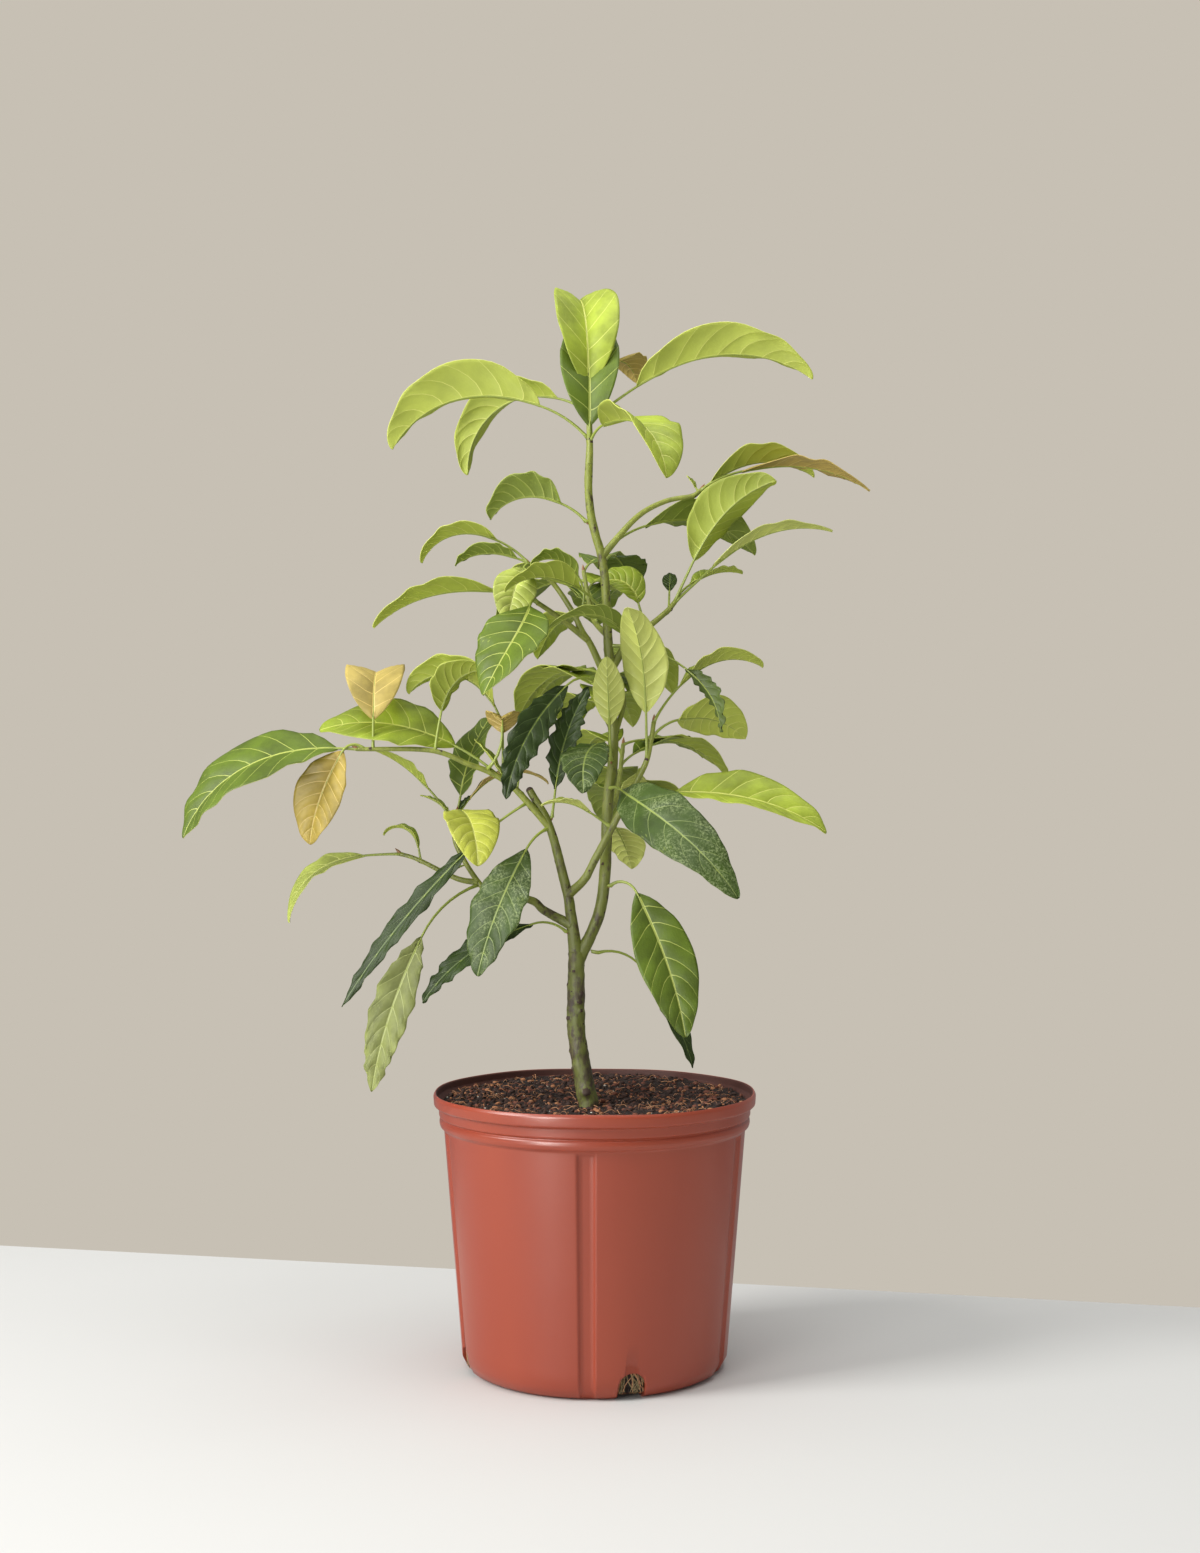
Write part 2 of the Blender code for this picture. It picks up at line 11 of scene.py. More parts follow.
import bmesh
import bpy
from mathutils import Matrix, Vector, noise


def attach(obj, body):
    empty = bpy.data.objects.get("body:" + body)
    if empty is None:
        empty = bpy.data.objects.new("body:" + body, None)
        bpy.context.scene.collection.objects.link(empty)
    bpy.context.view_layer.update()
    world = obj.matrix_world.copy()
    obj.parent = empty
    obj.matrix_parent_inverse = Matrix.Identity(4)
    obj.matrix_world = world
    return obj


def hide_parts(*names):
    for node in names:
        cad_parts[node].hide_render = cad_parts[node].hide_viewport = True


MM = 0.001
GAP = 0.3  # clearance between the source's solids
TURN = 2 * math.pi
ROUND = 6.28  # about one turn in radians, for waves and random turns
BLACK = (0, 0, 0, 1)
WHITE = (1, 1, 1, 1)
FINISHES = {}  # each material by its name

# Pot, a turned shell with five pressed channels and four drain holes
POT_HEIGHT = 228
LIP_RADIUS = 133.5
LIP_HEIGHT = 11
BAND_RADIUS = 129
BEAD_RADIUS = 128.5
BEAD_FOOT = 198  # height where the straight wall ends under the bead
WALL_TOP_RADIUS = 125
WALL_FOOT_RADIUS = 109
BASE_RADIUS = 100
CORNER = WALL_FOOT_RADIUS - BASE_RADIUS
WALL = 3
WALL_ROWS = (196.4, 195.2, 193, 160, 120, 80, 45, 20, 11)
ROUNDING = 0.9
POT_SLICES = 240
CHANNEL_ANGLES = (-75, -3, 69, 141, 213)
CHANNEL_WIDTH = 13
CHANNEL_DEPTH = 1.4
CHANNEL_SHOWN = 1.6  # the channels are pressed this many times as deep, so that they show
CHANNEL_TOP = 196
CHANNEL_RADIUS = 117  # where a channel's width is turned into an angle
CHANNEL_HALF = CHANNEL_WIDTH / 2 / CHANNEL_RADIUS
CHANNEL_COLUMNS = (0.3, 0.76, 0.88, 1.0, 1.1, 1.25)
HOLE_ANGLES = (15.6, 105.6, 195.6, 285.6)
HOLE_WIDTH = 22
HOLE_HEIGHT = 22
SOIL_TOP = 218
SOIL_SLICES = 260
SOIL_RINGS = 110
CHIPS = 2600
CHIP_SHARES = {"chip_dark": 68, "chip_red": 18, "chip_tan": 8, "speck": 4}
FIBRES = 420
LITTER_RADIUS = 124
ROOTS_PER_HOLE = 26
THIRDS = (0, 2.09, 4.19)  # turns round a thin cord
CRUMB_SEED = 11

# Leaf sections: shares of the blade's length, and the thickness there
BLADE_SHARES = (0.0, 0.12, 0.3, 0.5, 0.7, 0.87, 1.0)
STALK_STEPS = 3
STALK_RADIUS = 1.3
TIP_RADIUS = 0.5

Leaf = namedtuple("Leaf", "at heading rise stalk sag blade droop width fold kind roll swing", defaults=(0, 0))
Twig = namedtuple("Twig", "at points radii leaves", defaults=((),))

# Limbs: what each one leaves and at which share, the points after its foot, and the radius at each end
TRUNK = [(-5, -38, 218.3), (-5, -38, 224), (-9, -36, 242), (-13, -34, 266), (-15, -33, 290), (-15, -32, 343)]
TRUNK_RADII = (7.2, 6.2)
LIMBS = {
    "leader": Twig(("trunk", 0.97), [
        (2, -31, 371), (8, -30, 403), (11, -29, 469), (15, -29, 502), (14, -29, 551), (11, -29, 600),
        (9, -28, 641), (6, -28, 666), (-2, -28, 697), (-5, -28, 722), (-4.5, -29, 744)], (5.0, 3.2)),
    "bough_left": Twig(("trunk", 1.0), [
        (-16, -32, 350), (-21, -32, 387), (-25, -33, 404), (-37, -35, 448), (-53, -37, 477)], (4.7, 3.0)),
    "bough_low_left": Twig(("bough_left", 0.19), [
        (-41, -26, 378), (-51, -24, 386), (-78, -22, 393)], (3.8, 2.8)),
    "bough_right": Twig(("bough_left", 0.37), [
        (-8, -43, 405), (0, -44.5, 420), (19, -46, 456), (32.5, -48, 481)], (3.4, 2.7)),
    "spur": Twig(("leader", 0.45), [(22.5, -26, 541), (24, -26, 551), (21.5, -26, 561)], (2.2, 1.8)),
}


def leafy(at, points, radii, *rows):
    """A twig whose leaves are rows of a table; at is a leaf's share of the twig."""
    return Twig(at, points, radii, [Leaf(*row) for row in rows])


# The twigs of each mass with their leaves; a second twig leaves the first at a share of it
MASSES = {
    "top_tuft": [leafy(("leader", 1.0), [(-4, -29, 763), (-5, -28, 798)], (3.0, 2.0),
        (1.0, 98, 88, 8, 0, 142, 104, 62, 30, "lime"),
        (0.34, 270, 45, 12, -43, 121, -92, 52, 20, "mature", 180),
        (0.34, 180, 51, 50, 32, 138, 82, 61, 40, "lime", -33),
        (0.78, 150, 34, 32, 18, 126, 112, 46, 38, "lime", -20),
        (0.62, 0, 41, 47, 8, 155, 70, 52, 38, "lime", 30),
        (0.97, 56, 58, 42, 20, 54, 108, 40, 12, "bronze"),
        (0.30, 303, 55, 24, 48, 116, 88, 62, 18, "lime", 8))],
    "upper_right_spray": [leafy(("leader", 0.82), [(34, -25, 700), (57.5, -20, 714), (80, -17, 719),
        (87, -16, 723.5)], (2.4, 1.8),
        (1.0, 0, 38, 38, 26, 110, 48, 40, 10, "bronze", 5),
        (0.98, 12, 40, 12, 4, 97, 72, 38, 30, "lime", 20),
        (0.98, 150, 60, 4, 0, 14, 20, 8, 10, "young"),
        (0.04, 27, 42, 38, 24, 114, 65, 46, 22, "mature", 25))],
    "right_spray": [leafy(("leader", 0.59), [(29, -22, 600), (44, -16, 611), (60, -8, 625),
        (66, -5, 632)], (2.9, 2.0),
        (1.0, 335, 64, 39, 2, 98, 50, 50, 28, "young", 35),
        (1.0, 358, 44, 44, 3, 107, 57, 34, 22, "pale"),
        (0.95, 25, 62, 26, 30, 52, 45, 32, 15, "young"),
        (0.90, 85, 62, 18, 0, 22, 30, 13, 15, "dark"),
        (0.55, 168, 70, 22, -5, 42, 110, 30, 20, "young", 50),
        (0.30, 240, 38, 9, 5, 84, 75, 24, 20, "mature", -20, -50))],
    "upper_left_spray": [leafy(("leader", 0.55), [(-2, -35, 593), (-10, -36, 606), (-19, -34, 624),
        (-35, -31, 647), (-53, -30, 661)], (2.8, 1.8),
        (1.0, 180, 50, 32, 25, 74, 95, 30, 25, "lime", -10),
        (0.97, 180, 40, 14, 20, 55, 60, 24, 25, "mature", -20),
        (1.0, 245, 10, 12, 55, 54, 35, 36, 12, "pale", 30),
        (0.50, 180, 128, 36, 70, 46, 105, 28, 25, "mature", -10)),
    leafy(0.33, [(-30, -38, 618), (-46, -41, 629)], (2.2, 1.8),
        (1.0, 185, 25, 34, 20, 108, 50, 38, 25, "young", -10),
        (1.0, 258, 22, 28, 62, 96, 25, 58, 8, "mature", 12, -55))],
    "left_spray": [leafy(("bough_left", 0.78), [(-57, -41, 470), (-69, -43, 482), (-86, -46, 492),
        (-102, -49, 498), (-132, -54, 509), (-190, -60, 510)], (2.6, 1.7),
        (1.0, 180, 3, 16, 2, 154, 72, 64, 8, "mature", 35),
        (0.97, 190, 50, 20, 110, 80, 25, 44, 15, "bronze", 60),
        (0.93, 92, 82, 24, 0, 96, 150, 50, 14, "tan"),
        (0.64, 348, 83, 33, 5, 56, 90, 42, 22, "young", 20),
        (0.38, 168, 138, 56, 80, 88, 115, 40, 30, "lime", -25),
        (0.30, 175, 44, 46, 18, 116, 45, 62, 8, "young", 35),
        (0.29, 270, 88, 38, 10, 28, 120, 30, 22, "bronze"),
        (0.27, 170, 58, 6, 0, 38, 15, 16, 15, "young"),
        (0.21, 18, 80, 31, 5, 64, 48, 34, 25, "young", 30),
        (0.13, 192, -30, 53, 14, 170, 15, 21, 6, "wavy", 50))],
    "low_left_spray": [leafy(("bough_low_left", 1.0), [(-93, -19, 398), (-113, -16, 429), (-116, -15, 447),
        (-114, -15, 457)], (2.4, 1.7),
        (0.22, 196, -18, 66, 46, 132, 18, 38, 8, "dull", 60),
        (0.97, 165, 40, 8, 0, 28, 30, 14, 15, "young"),
        (0.98, 20, 60, 4, 0, 20, 30, 12, 15, "dark"),
        (0.90, 180, 60, 35, 12, 58, 30, 26, 20, "young", -10),
        (0.88, 42, 72, 25, -5, 75, 30, 42, 12, "mature"),
        (0.92, 5, 62, 22, 10, 76, 95, 24, 15, "bronze"),
        (0.92, 290, 66, 20, 70, 74, 85, 46, 10, "yellow")),
    leafy(0.24, [(-114, -14, 404), (-145, -12, 419), (-160, -11, 424)], (2.0, 1.6),
        (1.0, 180, 0, 30, 5, 92, 85, 34, 10, "pale", 22),
        (0.75, 170, 80, 10, 0, 42, 140, 16, 20, "young"),
        (0.40, 30, 30, 3, 0, 16, 20, 8, 15, "young"))],
    "right_shoot": [leafy(("bough_right", 1.0), [(42, -47, 500.5), (46.5, -42, 521),
        (48, -39, 532)], (2.5, 1.8),
        (0.40, 245, 88, 38, 0, 94, 50, 42, 15, "pale"),
        (1.0, 24, 60, 37, 16, 86, 72, 32, 25, "lime", 15),
        (0.74, 36, 50, 32, 40, 76, 50, 44, 15, "lime", 45),
        (0.22, 115, 60, 9, 135, 34, 10, 26, 12, "pale"))],
}

# Single leaves, each after its limb
SINGLES = {
    "leaf_upper_left": ("leader", 0.885, 180, 49, 25, 25, 66, 85, 44, 35, "mature", -25),
    "leaf_over_spray": ("leader", 0.70, 213, 54, 27, 30, 75, 65, 34, 25, "young", -20),
    "leaf_behind_leader": ("leader", 0.80, 72, 35, 30, 40, 52, 60, 40, 10, "dark"),
    "leaf_curled": ("leader", 0.63, 350, 2, 64, 40, 62, 50, 22, 20, "wavy", 60, -35),
    "leaf_hanging_left": ("leader", 0.53, 215, 66, 44, 106, 112, 40, 31, 8, "wavy", 60),
    "leaf_standing": ("leader", 0.40, 262, 68, 30, -5, 58, 5, 28, 20, "pale"),
    "leaf_front": ("leader", 0.42, 238, 55, 18, 68, 66, 62, 40, 6, "speckled", 0, 40),
    "leaf_big_right": ("leader", 0.345, 285, 8, 30, 20, 160, 46, 50, 5, "speckled", -45, 65),
    "leaf_low_right": ("leader", 0.15, 330, 40, 28, 100, 124, 20, 48, 8, "mature", -50),
    "leaf_lowest_right": ("leader", 0.015, 10, 15, 40, 68, 95, 22, 22, 10, "dark", -50),
    "leaf_low_left": ("bough_left", 0.13, 194, 45, 30, 62, 112, 40, 25, 10, "wavy", 45),
    "leaf_back_right": ("leader", 0.27, 60, 20, 10, 60, 45, 30, 36, 10, "pale"),
    "leaf_speckled": ("bough_left", 0.75, 220, -20, 26, 35, 112, 20, 48, 5, "speckled", 25),
    "leaf_upright": ("bough_left", 0.80, 0, 83, 23, 0, 88, 26, 28, 10, "wavy", -70),
    "leaf_pale_left": ("bough_right", 0.62, 186, 35, 16, 0, 44, 60, 28, 15, "pale"),
    "leaf_right": ("bough_right", 0.85, 355, 28, 36, 26, 130, 38, 50, 22, "lime", -35),
}

# Twigs on the far side of the leader: share and heading; their leaves follow one seeded rule
BACK_SPRAYS = {"back_spray_low": (0.30, 78), "back_spray_middle": (0.47, 100), "back_spray_high": (0.66, 108)}
BACK_TWIG = 85
BACK_LEAVES = 7
BACK_SEED = 7

# Scars placed one by one on the trunk: distance from its foot, heading, and height and size of the bump
TRUNK_SCARS = [
    (13, 268, 2.4, 3.6), (15, 60, 1.5, 2.4), (34, 195, 1.2, 1.6), (52, 320, 0.9, 1.4), (74, 205, 1.8, 2.2),
    (80, 300, 1.6, 1.8), (87, 290, 2.0, 2.6), (94, 306, 1.8, 1.8), (101, 190, 1.3, 1.8), (112, 250, 0.9, 1.4)]

LIMB_SIDES = 36
LIMB_STEP = 1.2
TWIG_SIDES = 14
TIP_SHARES = (0.35, 0.65, 0.88, 0.98)
FOOT_DEPTH = 4  # how far below its place a side limb starts inside its carrier
BARK_SWELL = 0.7  # the trunk's bark stands this much proud of its solid
SCAR_SIZE = 1.2
SCAR_SPACING = 17
SCAR_TURN = 137.5
BUD_PROFILE = ((-0.15, 0.10), (0.0, 0.16), (0.25, 0.2), (0.5, 0.17), (0.75, 0.1), (0.93, 0.04), (1.0, 0.01))
DETAIL_SEED = 5

VEINS = 7  # lateral veins on each half of a leaf
FIRST_VEIN = 0.05
VEIN_SPAN = 0.84  # share of the midrib that the veins leave from
VEIN_HALF_WIDTH = 0.42
VEIN_SHIFT = 0.018  # how much a vein strays from its even place, as a share of the blade
VEIN_SLANT = 0.21  # how far a vein runs forward, as a share of the blade
VEIN_SINK = 0.12
VEIN_RELIEF = 0.25  # how far veins stand out below, and the midrib sinks above
RIB_HALF_WIDTH = 1.15
RIB_TAPER = 0.75
DISH = 0.05  # height of the arch across each half, as a share of its width
UNEVENNESS = 1.1
FULL_WIDTH = 40  # a narrower leaf has shallower waves and thinner ribs
LEAF_THICKNESS = 0.5
HALF_COLUMNS = (0.16, 0.34, 0.54, 0.74, 0.9, 1.0)
RIB_COLUMN = 0.001  # stands in a row of columns for the edge of the midrib
BETWEEN_VEINS = (0.12, 0.36, 0.64, 0.88)
BEYOND_VEINS = (0.15, 0.35, 0.55, 0.75, 0.9, 1.0)
CORD_SIDES = 7
STALK_ROWS = 7
RIB_ROWS = 18

# Each kind of leaf: upper side, underside and veins in sRGB, height and number of the margin's waves, height
# of the cushions between veins, roughness, and depth of the margin's notches as a share of half the width
Look = namedtuple("Look", "upper under vein wave waves cushion rough notch", defaults=(0.5, 0.45, 0.0))
LOOKS = {
    "lime": Look((160, 176, 60), (184, 196, 80), (206, 212, 104), 1.2, 3, 0.6),
    "young": Look((144, 162, 48), (168, 182, 68), (192, 200, 90), 1.2, 3),
    "mature": Look((92, 112, 32), (132, 148, 56), (172, 182, 84), 1.4, 4),
    "dark": Look((50, 68, 18), (96, 114, 46), (88, 108, 42), 1.4, 5),
    "speckled": Look((60, 80, 26), (106, 122, 52), (122, 138, 72), 1.4, 5, 0.5, 0.45, 0.03),
    "wavy": Look((44, 62, 16), (90, 108, 44), (78, 98, 38), 3.0, 7, 0.5, 0.45, 0.11),
    "dull": Look((142, 150, 84), (150, 160, 92), (170, 178, 108), 2.2, 7, 0.5, 0.5, 0.08),
    "bronze": Look((176, 154, 70), (182, 158, 84), (204, 180, 100), 1.2, 3),
    "tan": Look((182, 162, 88), (196, 176, 96), (214, 190, 108), 1.2, 3, 0.4, 0.5),
    "yellow": Look((190, 196, 76), (204, 208, 92), (216, 218, 112), 1.4, 3),
    "pale": Look((172, 184, 86), (192, 200, 102), (210, 216, 124), 1.0, 3),
}

# Finishes with one colour: the colour in sRGB, roughness, the grain's noise, and strength and height of bumps
LITTER = (0.85, (500,), 0.5, 0.001)
PLAIN_LOOKS = {
    "stalk": ((150, 164, 66), 0.45, (600,), 0.2, 0.0004),
    "scar": ((62, 42, 28), 0.8, (500,), 0.6, 0.001),
    "bud": ((148, 104, 66), 0.6, (600, 4, 0.6, (1, 1, 0.3)), 0.4, 0.0006),
    # the pot's inside: the same plastic painted darker, as painted shade inside the pot
    "pot_inner": ((84, 42, 32), 0.7, (700, 3, 0.5), 0.06, 0.0004),
    "chip_dark": ((56, 32, 22), *LITTER),
    "chip_red": ((112, 62, 42), *LITTER),
    "chip_tan": ((166, 110, 72), *LITTER),
    "fibre": ((196, 142, 102), *LITTER),
    "speck": ((214, 206, 192), *LITTER),
    "root": ((140, 122, 84), *LITTER),
}

PHOTO_HEIGHT = 1553
FOCAL_PIXELS = 2080
CAMERA_PLACE = (0.0044, -1.73, 0.488)
SENSOR = 36
NEAR_WHITE = (255, 254, 252)
WARM_WHITE = (255, 253, 249)
FLOOR_REACH = 3
FLOOR_EDGE = (-0.609, 0.432)  # a point on the floor's far edge
FLOOR_SLOPE = -0.215
FLOOR_THICKNESS = 0.03


def catmull_rom(points, step):
    """Points a step apart or less on a smooth curve through the given ones."""
    ends = [points[0] * 2 - points[1]] + points + [points[-1] * 2 - points[-2]]
    out = []
    for a, b, c, d in zip(ends, ends[1:], ends[2:], ends[3:]):
        count = max(1, math.ceil((c - b).length / step))
        for i in range(count):
            t = i / count
            out.append(0.5 * (2 * b + (c - a) * t + (2 * a - 5 * b + 4 * c - d) * t * t
                              + (3 * b - a - 3 * c + d) * t ** 3))
    return out + [points[-1]]


def directions(points):
    """The direction of a line at each of its points."""
    ends = [points[0]] + points + [points[-1]]
    return [(after - before).normalized() for before, after in zip(ends, ends[2:])]


class Stem:
    """A smooth tapering axis."""

    def __init__(self, points, radii, step=2):
        self.points = catmull_rom([Vector(p) for p in points], step)
        self.radii = radii
        self.marks = [0.0]
        for a, b in zip(self.points, self.points[1:]):
            self.marks.append(self.marks[-1] + (b - a).length)

    def radius(self, share):
        return self.radii[0] + (self.radii[1] - self.radii[0]) * share

    def place(self, share):
        """The point and the direction at a share of the length."""
        want = share * self.marks[-1]
        for i in range(1, len(self.marks)):
            if self.marks[i] >= want - 1e-9:
                a, b = self.points[i - 1], self.points[i]
                t = (want - self.marks[i - 1]) / (self.marks[i] - self.marks[i - 1])
                return a.lerp(b, t), (b - a).normalized()
        return self.points[-1], (self.points[-1] - self.points[-2]).normalized()


def aim(heading, rise):
    """The direction with a heading from +X and a rise above level."""
    h, r = math.radians(heading), math.radians(rise)
    return Vector((math.cos(h) * math.cos(r), math.sin(h) * math.cos(r), math.sin(r)))


def clear_foot(carrier, share, target, radius):
    """The start of a limb that grows towards target from the side or the tip of its carrier."""
    centre, along = carrier.place(share)
    way = (target - centre).normalized()
    if share == 1.0:
        return centre + along * (radius * way.cross(along).length + GAP + 0.1)
    out = (way - along * way.dot(along)).normalized()
    slope = abs(way.dot(along))
    return centre + out * (carrier.radius(share) + radius * slope + GAP + 0.1)


def grown_stem(twig, stems):
    """The stem of a limb or twig as the source has it, clear of its carrier."""
    carrier, share = twig.at
    foot = clear_foot(stems[carrier], share, Vector(twig.points[0]), twig.radii[0])
    return Stem([foot] + twig.points, twig.radii)


def rooted_stem(twig, stems):
    """The stem of a side limb as it's seen: it starts inside its carrier, a little below."""
    carrier, share = twig.at
    centre, along = stems[carrier].place(share)
    return Stem([centre - along * FOOT_DEPTH] + twig.points, twig.radii, LIMB_STEP)


def blade_shape(u):
    """Half width of the blade, as a share of its greatest, at a share u of its length."""
    return max(0.0, math.sin(math.pi * u ** 0.9)) ** (0.85 - 0.4 * max(0.0, u - 0.5))


class LeafLine:
    """The midrib of one leaf: the source's steps, joined by smooth curves.

    Places on it run from 0 to 1 on the stalk and on to 2 on the blade.
    """

    def __init__(self, leaf, root):
        self.leaf = leaf
        self.knots = []
        spot = Vector(root)
        last = 0.0
        for t in [s / STALK_STEPS for s in range(STALK_STEPS)] + [1.0 + u for u in BLADE_SHARES]:
            length = (t - last) * (leaf.blade if t > 1.0 else leaf.stalk)
            spot = spot + aim(*self.heading_and_rise((last + t) / 2)) * length
            self.knots.append((t, spot, length))
            last = t

    def heading_and_rise(self, t):
        leaf, u = self.leaf, max(t - 1.0, 0.0)
        return leaf.heading + leaf.swing * u, leaf.rise - leaf.sag * min(t, 1.0) - leaf.droop * u ** 1.3

    def at(self, t):
        """Centre, right side and upper side."""
        for a, b in zip(self.knots, self.knots[1:]):
            if t <= b[0] + 1e-9:
                break
        k = max(0.0, min(1.0, (t - a[0]) / (b[0] - a[0])))
        pull_a, pull_b = (aim(*self.heading_and_rise(knot[0])) * b[2] for knot in (a, b))
        spot = (a[1] * (2 * k ** 3 - 3 * k * k + 1) + pull_a * (k ** 3 - 2 * k * k + k)
                + b[1] * (3 * k * k - 2 * k ** 3) + pull_b * (k ** 3 - k * k))
        heading, rise = self.heading_and_rise(t)
        forward = aim(heading, rise)
        upper = aim(heading, rise + 90)
        right = forward.cross(upper)
        turn = math.radians(self.leaf.roll) * min(t, 1.0)
        side = right * math.cos(turn) + upper * math.sin(turn)
        return spot, side, upper * math.cos(turn) - right * math.sin(turn)


def circle(centre, side, other, radius, count):
    """Points on a circle across the axis that side and other stand square to."""
    angles = (TURN * k / count for k in range(count))
    return [centre + (side * math.cos(a) + other * math.sin(a)) * radius for a in angles]


def polar(radius, angle, height=0.0):
    return Vector((radius * math.cos(angle), radius * math.sin(angle), height))


def placed(name, data):
    """A new object in the scene."""
    obj = bpy.data.objects.new(name, data)
    bpy.context.scene.collection.objects.link(obj)
    return obj


class Gathered:
    """Vertices and faces for one object; each face names its material."""

    def __init__(self):
        self.verts = []
        self.faces = []
        self.kinds = []

    def quad(self, kind, *corners):
        self.faces.append(corners)
        self.kinds.append(kind)

    def rings(self, rings, kind):
        """A skin over rings of equal count, with flat caps."""
        count = len(rings[0])
        first = len(self.verts)
        for ring in rings:
            self.verts.extend(ring)
        for i in range(len(rings) - 1):
            a = first + i * count
            for j in range(count):
                k = (j + 1) % count
                self.quad(kind, a + j, a + k, a + count + k, a + count + j)
        self.quad(kind, *reversed(range(first, first + count)))
        last = first + (len(rings) - 1) * count
        self.quad(kind, *range(last, last + count))

    def build(self, name):
        """One smooth-shaded piece that rides on the part's body."""
        mesh = bpy.data.meshes.new(name)
        mesh.from_pydata([v * MM for v in self.verts], [], self.faces)
        used = sorted(set(self.kinds))
        for kind in used:
            mesh.materials.append(FINISHES[kind])
        mesh.polygons.foreach_set("material_index", [used.index(kind) for kind in self.kinds])
        mesh.polygons.foreach_set("use_smooth", [True] * len(self.faces))
        mesh.update()
        obj = placed(name, mesh)
        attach(obj, "root")
        return obj


def rows_of(leaf, rng):
    """Rows across a leaf: the share where each one meets the midrib, its offset from the middle of a vein,
    how far it strays on each side, the height of its cushion, and whether a vein starts there.
    """
    vein_half = VEIN_HALF_WIDTH / leaf.blade
    shares = [FIRST_VEIN + VEIN_SPAN * (k + 0.5) / VEINS for k in range(VEINS)]
    shifts = [(rng.uniform(-VEIN_SHIFT, VEIN_SHIFT), rng.uniform(-VEIN_SHIFT, VEIN_SHIFT)) for _ in shares]
    still = (0.0, 0.0)
    rows = [(0.0, 0.0, still, 0.0, False)]
    previous, previous_shift = 0.0, still
    for share, shift in zip(shares, shifts):
        for t in BETWEEN_VEINS:
            mixed = tuple(p + (q - p) * t for p, q in zip(previous_shift, shift))
            rows.append((previous + (share - previous) * t, 0.0, mixed, math.sin(math.pi * t), False))
        rows.append((share, -vein_half, shift, 0.0, True))
        rows.append((share, vein_half, shift, 0.0, False))
        previous, previous_shift = share, shift
    for t in BEYOND_VEINS:
        fade = tuple(p * (1 - t) for p in previous_shift)
        rows.append((previous + (1.0 - previous) * t, 0.0, fade, 0.6 * math.sin(math.pi * t), False))
    return rows


def add_leaf(leaf, root, core, out, rng):
    """One leaf: a thin closed shell with veins, and a tapering cord from the limb's core along its midrib."""
    line = LeafLine(leaf, root)
    scale = min(1.0, leaf.width / FULL_WIDTH)
    add_blade(leaf, line, scale, out, rng)
    add_cord(line, scale, core, out)


def add_blade(leaf, line, scale, out, rng):
    look = LOOKS[leaf.kind]
    rows = rows_of(leaf, rng)
    fold = math.radians(leaf.fold)
    phase = rng.uniform(0, ROUND)
    seed = Vector((rng.uniform(0, 99), rng.uniform(0, 99), 0))
    columns = [-v for v in reversed(HALF_COLUMNS)] + [-RIB_COLUMN, 0.0, RIB_COLUMN] + list(HALF_COLUMNS)
    tops, unders = [], []
    for share, edge, shifts, cushion, _ in rows:
        for v in columns:
            away = abs(v)
            s = share + edge * (1 - 0.65 * away) + shifts[0 if v < 0 else 1] * min(1.0, away / 0.3)
            u = min(1.0, max(0.0, s + VEIN_SLANT * 4 * s * (1 - s) * away ** 1.3))
            spot, side, face = line.at(1.0 + u)
            half = max(TIP_RADIUS, leaf.width / 2 * blade_shape(u))
            wave = look.waves * ROUND * u + phase + 1.6 * math.sin(9 * u + phase) + (1.3 if v < 0 else 0)
            ripple = 1 + math.sin(look.waves * 8 * u + phase + v + 3 * math.sin(7 * u))
            half *= 1 - look.notch * ripple * away
            if away == RIB_COLUMN:
                away = min(0.5, (RIB_HALF_WIDTH - RIB_TAPER * u) / half)
            reach = half * away * (-1 if v < 0 else 1)
            lift = math.sin(fold) * half * away + DISH * half * math.sin(math.pi * away)
            lift += scale * look.cushion * cushion * math.sin(math.pi * min(1.0, away + 0.12))
            lift += scale * look.wave * away ** 2 * math.sin(wave)
            lift += UNEVENNESS * scale * away * noise.noise(seed + Vector((u * 4, v * 1.5, 0)))
            if v == 0.0:
                lift -= VEIN_RELIEF * scale
            point = spot + side * (math.cos(fold) * reach) + face * lift
            raised = VEIN_RELIEF if edge else 0.0
            tops.append(point - face * (VEIN_SINK if edge else 0))
            unders.append(point - face * (LEAF_THICKNESS + raised * scale))
    skin_blade(leaf.kind, rows, len(columns), tops, unders, out)


def skin_blade(kind, rows, wide, tops, unders, out):
    """Faces over the upper side, the underside and the rim of a blade."""
    top = len(out.verts)
    under = top + len(tops)
    out.verts.extend(tops)
    out.verts.extend(unders)
    ribs = (wide // 2 - 1, wide // 2)
    for i in range(len(rows) - 1):
        for j in range(wide - 1):
            a = i * wide + j
            corners = (a, a + 1, a + 1 + wide, a + wide)
            is_vein = rows[i][4] or j in ribs
            out.quad(kind + ("_vein" if is_vein else "_upper"), *(top + c for c in corners))
            out.quad(kind + ("_vein" if is_vein else "_under"), *(under + c for c in reversed(corners)))
        left, right = i * wide, (i + 1) * wide - 1
        out.quad(kind + "_vein", top + left, top + left + wide, under + left + wide, under + left)
        out.quad(kind + "_vein", under + right, under + right + wide, top + right + wide, top + right)
    end = (len(rows) - 1) * wide
    for j in range(wide - 1):
        out.quad(kind + "_under", under + j, under + j + 1, top + j + 1, top + j)
    for a in range(end, end + wide - 1):
        out.quad(kind + "_under", top + a, top + a + 1, under + a + 1, under + a)


